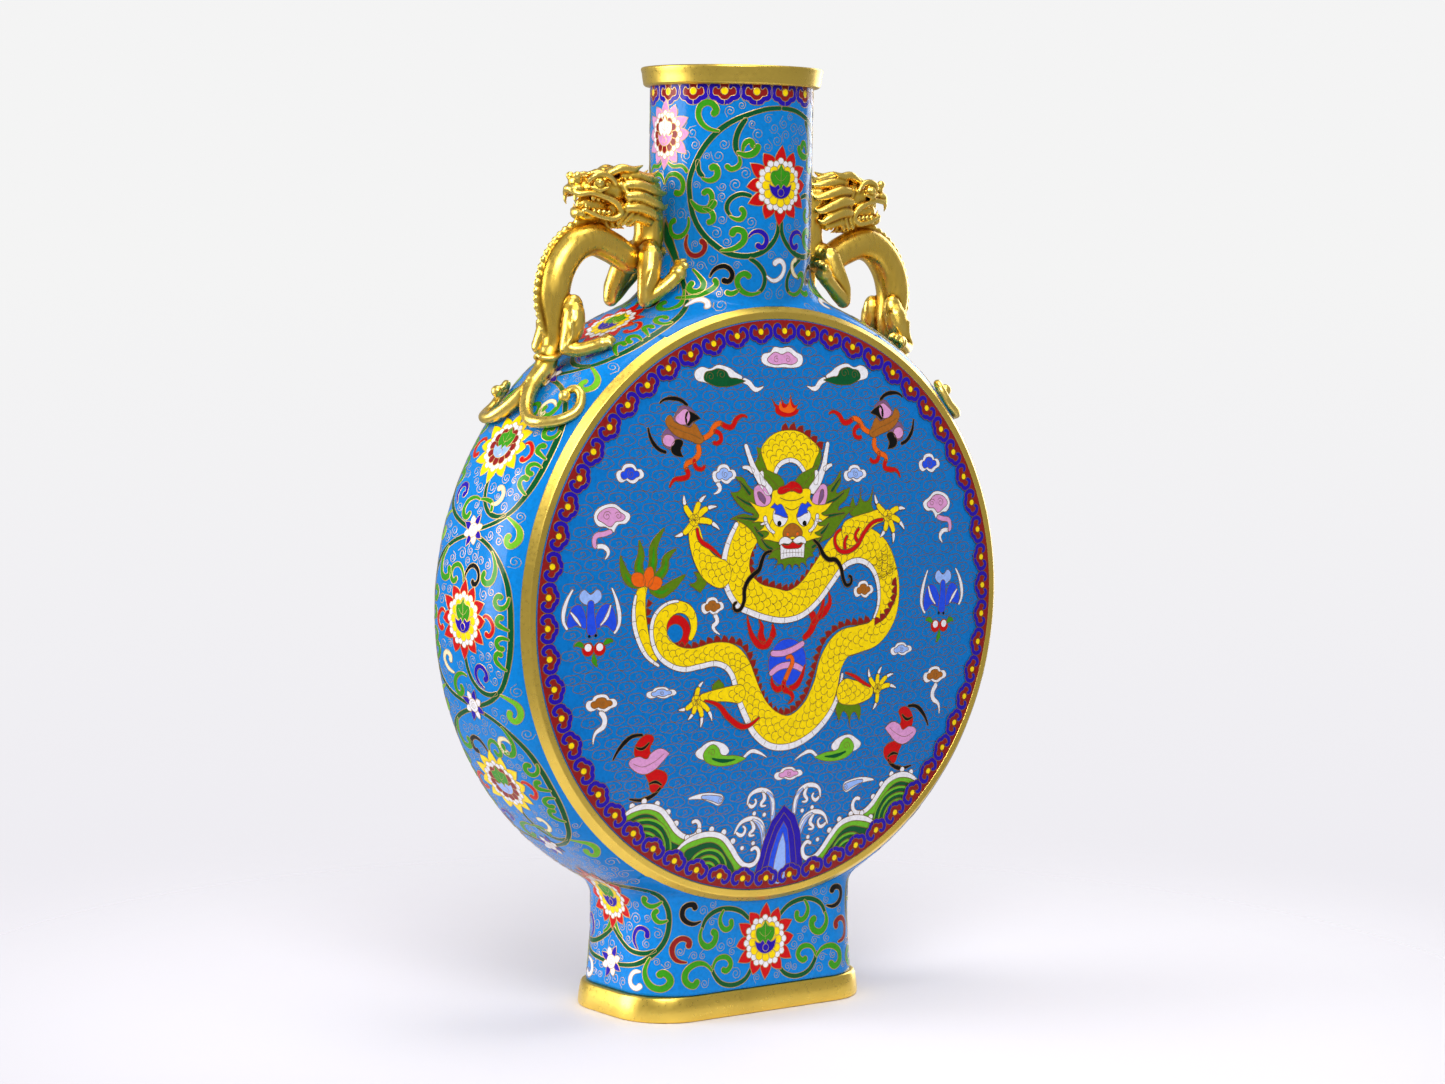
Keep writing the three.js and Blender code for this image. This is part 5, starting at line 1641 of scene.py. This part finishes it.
def cast_body(shape):
    limb(shape, torso_line, sides=24)
    limb(shape, [(56, 0, 434, 9), (53.8, 0, 421, 8), (53.4, 0, 411, 7.8), (55.5, 0, 402, 8.6)], sides=20)
    # crest along the back: a fillet carrying a row of lobes
    back = smooth_path([(82, 0, 417, 1), (90, 0, 418, 1), (99, 0, 416.2, 1), (108, 0, 410.5, 1),
        (115.5, 0, 402.5, 1), (120.4, 0, 393, 1), (122.7, 0, 381, 1), (121.3, 0, 369, 1),
        (118.2, 0, 359, 1)], 1.1)
    limb(shape, [(*place[:3], 1.6) for place in back[::3]], step=2, sides=8)
    run = np.concatenate([[0], np.cumsum(np.linalg.norm(np.diff(back[:, :3], axis=0), axis=1))])
    for k, distance in enumerate(np.arange(1, run[-1], 4)):
        spot = [np.interp(distance, run, back[:, axis]) for axis in range(3)]
        out = Vector((spot[0] - 88, 0, spot[2] - 385)).normalized()
        grow = 1 if distance < run[-1] - 14 else 0.75
        ball(shape, (spot[0] + out.x * 0.9, 0, spot[2] + out.z * 0.9), (2.3 * grow, 1.5, 2.3 * grow))


def cast_head(shape):
    ball(shape, (80, 0, 434), (14.5, 9.6, 8.6), 4)
    ball(shape, (93, 0, 435), (9.5, 7, 4.6), -4)
    ball(shape, (101, 0, 434.5), (5.6, 6.2, 3))
    ball(shape, (100.6, 0, 438.6), (3.2, 4.8, 2.9), -25)
    ball(shape, (74.5, 0, 425), (8.5, 8.2, 8))
    ball(shape, (87.5, 0, 420.6), (13.4, 6.6, 2.9), -3)
    ball(shape, (98.3, 0, 422), (3.6, 5.6, 3.4), 20)
    ball(shape, (65, 0, 431.5), (14, 11, 11))
    ball(shape, (89, 0, 426.5), (11, 4.2, 6))
    for side in (-1, 1):
        # nostrils, lips and fangs
        ball(shape, (101.2, side * 3.3, 441.2), (2.5, 2, 2.2))
        limb(shape, [(104.6, 2.5, 433.8, 1.4), (102, 5.6, 431.6, 1.5), (95, 7, 432.2, 1.4),
            (88, 8.2, 430.6, 1.6), (81, 9, 427.5, 1.9), (77.5, 9, 422.5, 2), (82, 8.2, 419.4, 1.7),
            (90, 7.2, 420.4, 1.3), (98, 5.8, 423.6, 1.3)], 1.4, 8, side)
        limb(shape, [(103.2, 4.6, 431, 1.2), (103.4, 4.6, 428.6, 0.9), (102.6, 4.4, 426.4, 0.35)], 1, 8,
            side)
        limb(shape, [(96.8, 5.4, 424, 1), (97.4, 5.4, 427.2, 0.35)], 1, 8, side)
        for k in range(4):
            ball(shape, (93 - 3 * k, side * (6 + 0.3 * k), 430 - 0.3 * k), (1.3, 1, 1.9))
            ball(shape, (92.4 - 3 * k, side * (6.3 + 0.2 * k), 423 - 0.2 * k), (1.3, 1, 1.8))
        # eye under a heavy brow
        ball(shape, (90.3, side * 7.4, 437.4), (3.6, 2.6, 3.2))
        ball(shape, (90.8, side * 9.4, 437.5), (1.9, 1.1, 1.8))
        limb(shape, [(96, 6, 438.2, 1.1), (94, 7.4, 440.8, 1.5), (89.5, 7.8, 442.2, 1.8),
            (84.5, 8.4, 441, 1.6), (81, 9, 437.5, 1.1)], 1.2, 8, side)
        limb(shape, [(95, 7.2, 435.4, 0.8), (90.4, 9, 433.8, 0.9), (85.8, 9.4, 435.4, 0.8)], 1.2, 8, side)
        # cheek frills behind the mouth
        for k, (x, r) in enumerate(((74.5, 1.3), (71.4, 1.4), (68.2, 1.4))):
            limb(shape, [(x + 3, 8.6, 437.5 + k, r), (x - 0.6, 10.4, 431, r + 0.2),
                (x - 0.4, 9.8, 423.5 - k, r), (x + 4, 7.4, 417 - k * 0.4, r * 0.8)], 1.4, 8, side)
        # ears and horns laid back
        limb(shape, [(83, 5.2, 442.5, 2.2), (76.5, 7, 445.4, 2.4), (69.5, 8, 445, 1.9),
            (63.5, 8.3, 447.2, 0.5)], 1.2, 10, side)
        limb(shape, [(78, 3, 443.6, 2), (70, 4, 444.6, 1.9), (61, 4.6, 442.4, 1.8), (54.5, 4.8, 442.6, 1.3),
            (50.6, 5, 445.4, 0.4)], 1.2, 10, side)
        ball(shape, (79.5, side * 4, 444.4), (2.6, 2, 1.6))
        # mane locks combed back
        for y, z, drop, reach in ((7, 441, -1.5, 50.5), (10.6, 436.4, -4, 49), (12, 430.6, -5.5, 49),
                (11.4, 424.8, -5.5, 51.5), (8, 420, -4, 57)):
            limb(shape, [(74, y - 1.6, z + 0.5, 2.6), (67, y + 0.2, z + 0.4, 3),
                (59, y + 0.2, z + drop * 0.45, 2.7), (reach + 3, y - 0.8, z + drop * 0.9, 1.7),
                (reach, y - 1.2, z + drop * 0.6, 0.5)], 1.5, 10, side)
    ball(shape, (84, 0, 443), (7.5, 4.2, 2))
    for k in range(5):
        ball(shape, (80 + 3.6 * k, 0, 445 - 0.25 * k * k), (1.8, 2.6, 1.1))
    for k in range(4):
        limb(shape, [(86 - 4 * k, 0, 418.5, 1.6), (84 - 4 * k, 0, 415.6, 1.1), (81 - 4 * k, 0, 414.4, 0.4)],
            1.2, 8)


def toes(shape, wrist, tips, radius):
    for tip in tips:
        middle = [(wrist[axis] * 0.45 + tip[axis] * 0.55) for axis in range(3)]
        middle[2] += radius * 0.7
        limb(shape, [(*wrist, radius), (*middle, radius * 0.95), (*tip, radius * 0.8)], 1, 10)
        claw = [tip[axis] + (tip[axis] - middle[axis]) * 0.42 for axis in range(3)]
        limb(shape, [(*tip, radius * 0.55), (claw[0], claw[1], claw[2] - radius * 0.25, 0.3)], 0.8, 8)


def cast_legs(shape):
    for side in (-1, 1):
        ball(shape, (58.5, side * 7.4, 401.5), (6.4, 4.6, 7.4), 15)
        limb(shape, [(59.5, 10, 400.5, 6.8), (62.2, 13.2, 391, 6.2), (65, 15, 383, 5),
            (66, 15.6, 377.6, 4.2)], sides=14, side=side)
        limb(shape, [(66, 15.6, 378, 4.2), (61, 17.2, 381, 4.1), (55, 18.9, 385.6, 3.8),
            (50, 19.7, 390, 4)], sides=14, side=side)
        limb(shape, [(64.5, 18.4, 392, 1.2), (67.2, 18.6, 385, 1.2), (68.3, 17.6, 379.5, 1)], 1.2, 8, side)
        ball(shape, (48.6, side * 20, 392), (4.6, 5, 4.4), 0)
        toes(shape, (48.8, side * 20, 393), [(46.2, side * 16.8, 397.6), (45.2, side * 20.6, 398),
            (46.6, side * 24.4, 395.6)], 2.2)
        ball(shape, (107, side * 8.6, 372), (6.2, 4.6, 8.6), 10)
        limb(shape, [(107, 9.6, 371, 6), (108.6, 11.2, 363, 6.2), (112.4, 12.4, 355.8, 4.2),
            (113.6, 12.8, 352.4, 3.5)], sides=14, side=side)
        limb(shape, [(113.8, 12.8, 352.8, 3.6), (108.6, 16.6, 352, 3.8), (102.5, 21.5, 354, 3.6),
            (99.6, 23.6, 355, 3.8)], sides=14, side=side)
        ball(shape, (99.2, side * 24, 355.4), (4.4, 4.4, 3.8))
        toes(shape, (99.2, side * 24, 355.8), [(97, side * 28.6, 355.4), (94.2, side * 27, 357.2),
            (93.2, side * 23.4, 358.4)], 2.1)
        limb(shape, [(112.4, 15.5, 366, 1.1), (112, 16, 360, 1.1), (115.4, 15.4, 354, 0.9)], 1.2, 8, side)


def cast_tail(shape):
    limb(shape, [(114.6, 0, 352, 5), (116.4, 0, 346.6, 5.6), (119.2, 0, 341, 5.4),
        over_band(47, 0, 4.9, 4.4)], sides=18)
    limb(shape, [(111.6, -4.4, 349.4, 1.2), (115.8, -6.2, 347.6, 1.3), (121.6, -3.4, 347.6, 1.3),
        (122.6, 0, 349, 1.2), (121.6, 3.4, 347.6, 1.3), (115.8, 6.2, 347.6, 1.3), (111.6, 4.4, 349.4, 1.2)],
        1.2, 8)
    for side in (-1, 1):
        curl = [(46.6, 0.6, 4.6, 4), (49, 2.6, 4.2, 3.9), (52, 8, 3.8, 3.6), (54.2, 16.5, 3.8, 3.3),
            (54.4, 26, 3.6, 3.1), (52.8, 34, 2.8, 2.9), (49.8, 37.4, 2, 2.7), (47, 35.8, 2.4, 2.6),
            (46.2, 31.8, 3.2, 2.3), (47.4, 29.2, 3.8, 1.9)]
        limb(shape, [over_band(*station) for station in curl], 1.3, 14, side)
        knob = over_band(48.6, side * 31, 5, 2.4)
        ball(shape, knob[:3], (3.3, 3.3, 3.3))


def cast_piece(name, parts, fineness):
    """Joins the modelled masses into one skin, then softens it."""
    shape = bmesh.new()
    for part in parts:
        part(shape)
    piece = new_object(name, mesh_from(shape, name))
    blend = piece.modifiers.new("one_skin", "REMESH")
    blend.mode = "VOXEL"
    blend.voxel_size = fineness * MM
    blend.use_smooth_shade = True
    soften = piece.modifiers.new("soften", "SMOOTH")
    soften.factor = 0.5
    soften.iterations = 3
    skin = bpy.data.meshes.new_from_object(piece.evaluated_get(bpy.context.evaluated_depsgraph_get()))
    piece.modifiers.clear()
    piece.data = skin
    return piece


def mark_hollows_for_painted_shade(mesh, reach=6):
    """Stores, on each vertex, how far it lies in a hollow, for the gilding's painted shade."""
    count = len(mesh.vertices)
    place = np.empty(count * 3)
    mesh.vertices.foreach_get("co", place)
    place = place.reshape(-1, 3)
    facing = np.empty(count * 3)
    mesh.vertices.foreach_get("normal", facing)
    facing = facing.reshape(-1, 3)
    pairs = np.empty(len(mesh.edges) * 2, int)
    mesh.edges.foreach_get("vertices", pairs)
    a, b = pairs.reshape(-1, 2).T
    degree = np.maximum(np.bincount(a, minlength=count) + np.bincount(b, minlength=count), 1)

    def mean(values):
        total = np.zeros_like(values)
        np.add.at(total, a, values[b])
        np.add.at(total, b, values[a])
        return total / (degree[:, None] if values.ndim > 1 else degree)
    soft = place
    for _ in range(reach):
        soft = mean(soft)
    depth = ((soft - place) * facing).sum(1) / MM
    for _ in range(2):
        depth = mean(depth)
    layer = mesh.attributes.new("hollow", "FLOAT", "POINT")
    layer.data.foreach_set("value", depth.astype(np.float32))


def chased_gilding_with_painted_shade(name):
    material, nodes, links, shader = principled(name)
    coordinates = nodes.new("ShaderNodeTexCoord")
    hollow = nodes.new("ShaderNodeAttribute")
    hollow.attribute_name = "hollow"
    spread = nodes.new("ShaderNodeMapRange")
    spread.inputs["From Min"].default_value = -0.22
    spread.inputs["From Max"].default_value = 0.34
    links.new(hollow.outputs["Fac"], spread.inputs["Value"])
    # Painted shade: the gold is a little lighter on raised parts and runs to near black in the hollows.
    ramp(nodes, links, spread.outputs["Result"], [(0.1, (0.96, 0.70, 0.16, 1)),
        (0.42, (0.86, 0.54, 0.06, 1)), (0.62, (0.42, 0.19, 0.015, 1)), (0.9, (0.07, 0.025, 0.003, 1))],
        shader.inputs["Base Color"])
    rubbing = noise(nodes, links, coordinates, 420, 4, (1, 1, 0.35))
    ramp(nodes, links, rubbing.outputs["Fac"], [(0.3, (0.22,) * 3 + (1,)), (0.7, (0.4,) * 3 + (1,))],
        shader.inputs["Roughness"])
    raise_by(nodes, links, shader, rubbing, 0.25, 0.0003)
    shader.inputs["Metallic"].default_value = 1
    return material


gold_with_painted_shade = chased_gilding_with_painted_shade("gilded_chasing_painted_shade")
handle_groups = (("head", (cast_head,), 0.5, ("head",)), ("body", (cast_body, cast_legs, cast_tail), 0.62,
    ("torso", "front_foreleg", "rear_foreleg", "front_hind_leg", "rear_hind_leg", "tail")))
for group, parts, fineness, nodes_replaced in handle_groups:
    right_piece = cast_piece("right_beast_" + group + "_cast", parts, fineness)
    mark_hollows_for_painted_shade(right_piece.data)
    right_piece.data.materials.clear()
    right_piece.data.materials.append(gold_with_painted_shade)
    mirror_mesh = right_piece.data.copy()
    turned_over = bmesh.new()
    turned_over.from_mesh(mirror_mesh)
    bmesh.ops.scale(turned_over, verts=turned_over.verts, vec=(-1, 1, 1))
    bmesh.ops.reverse_faces(turned_over, faces=turned_over.faces)
    turned_over.to_mesh(mirror_mesh)
    turned_over.free()
    left_piece = new_object("left_beast_" + group + "_cast", mirror_mesh)
    for word, piece in (("right", right_piece), ("left", left_piece)):
        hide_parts(*[word + "_beast_" + node for node in nodes_replaced])
        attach(piece, "root")


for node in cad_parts.values():
    if len(node.data.materials) == 0:
        node.data.materials.append(gold_cast)
for name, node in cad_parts.items():
    finish = gold_cast if "beast" in name else enamels["sky_blue"] if name == "base_plate" else gold_strip
    for slot in node.material_slots:
        slot.material = finish
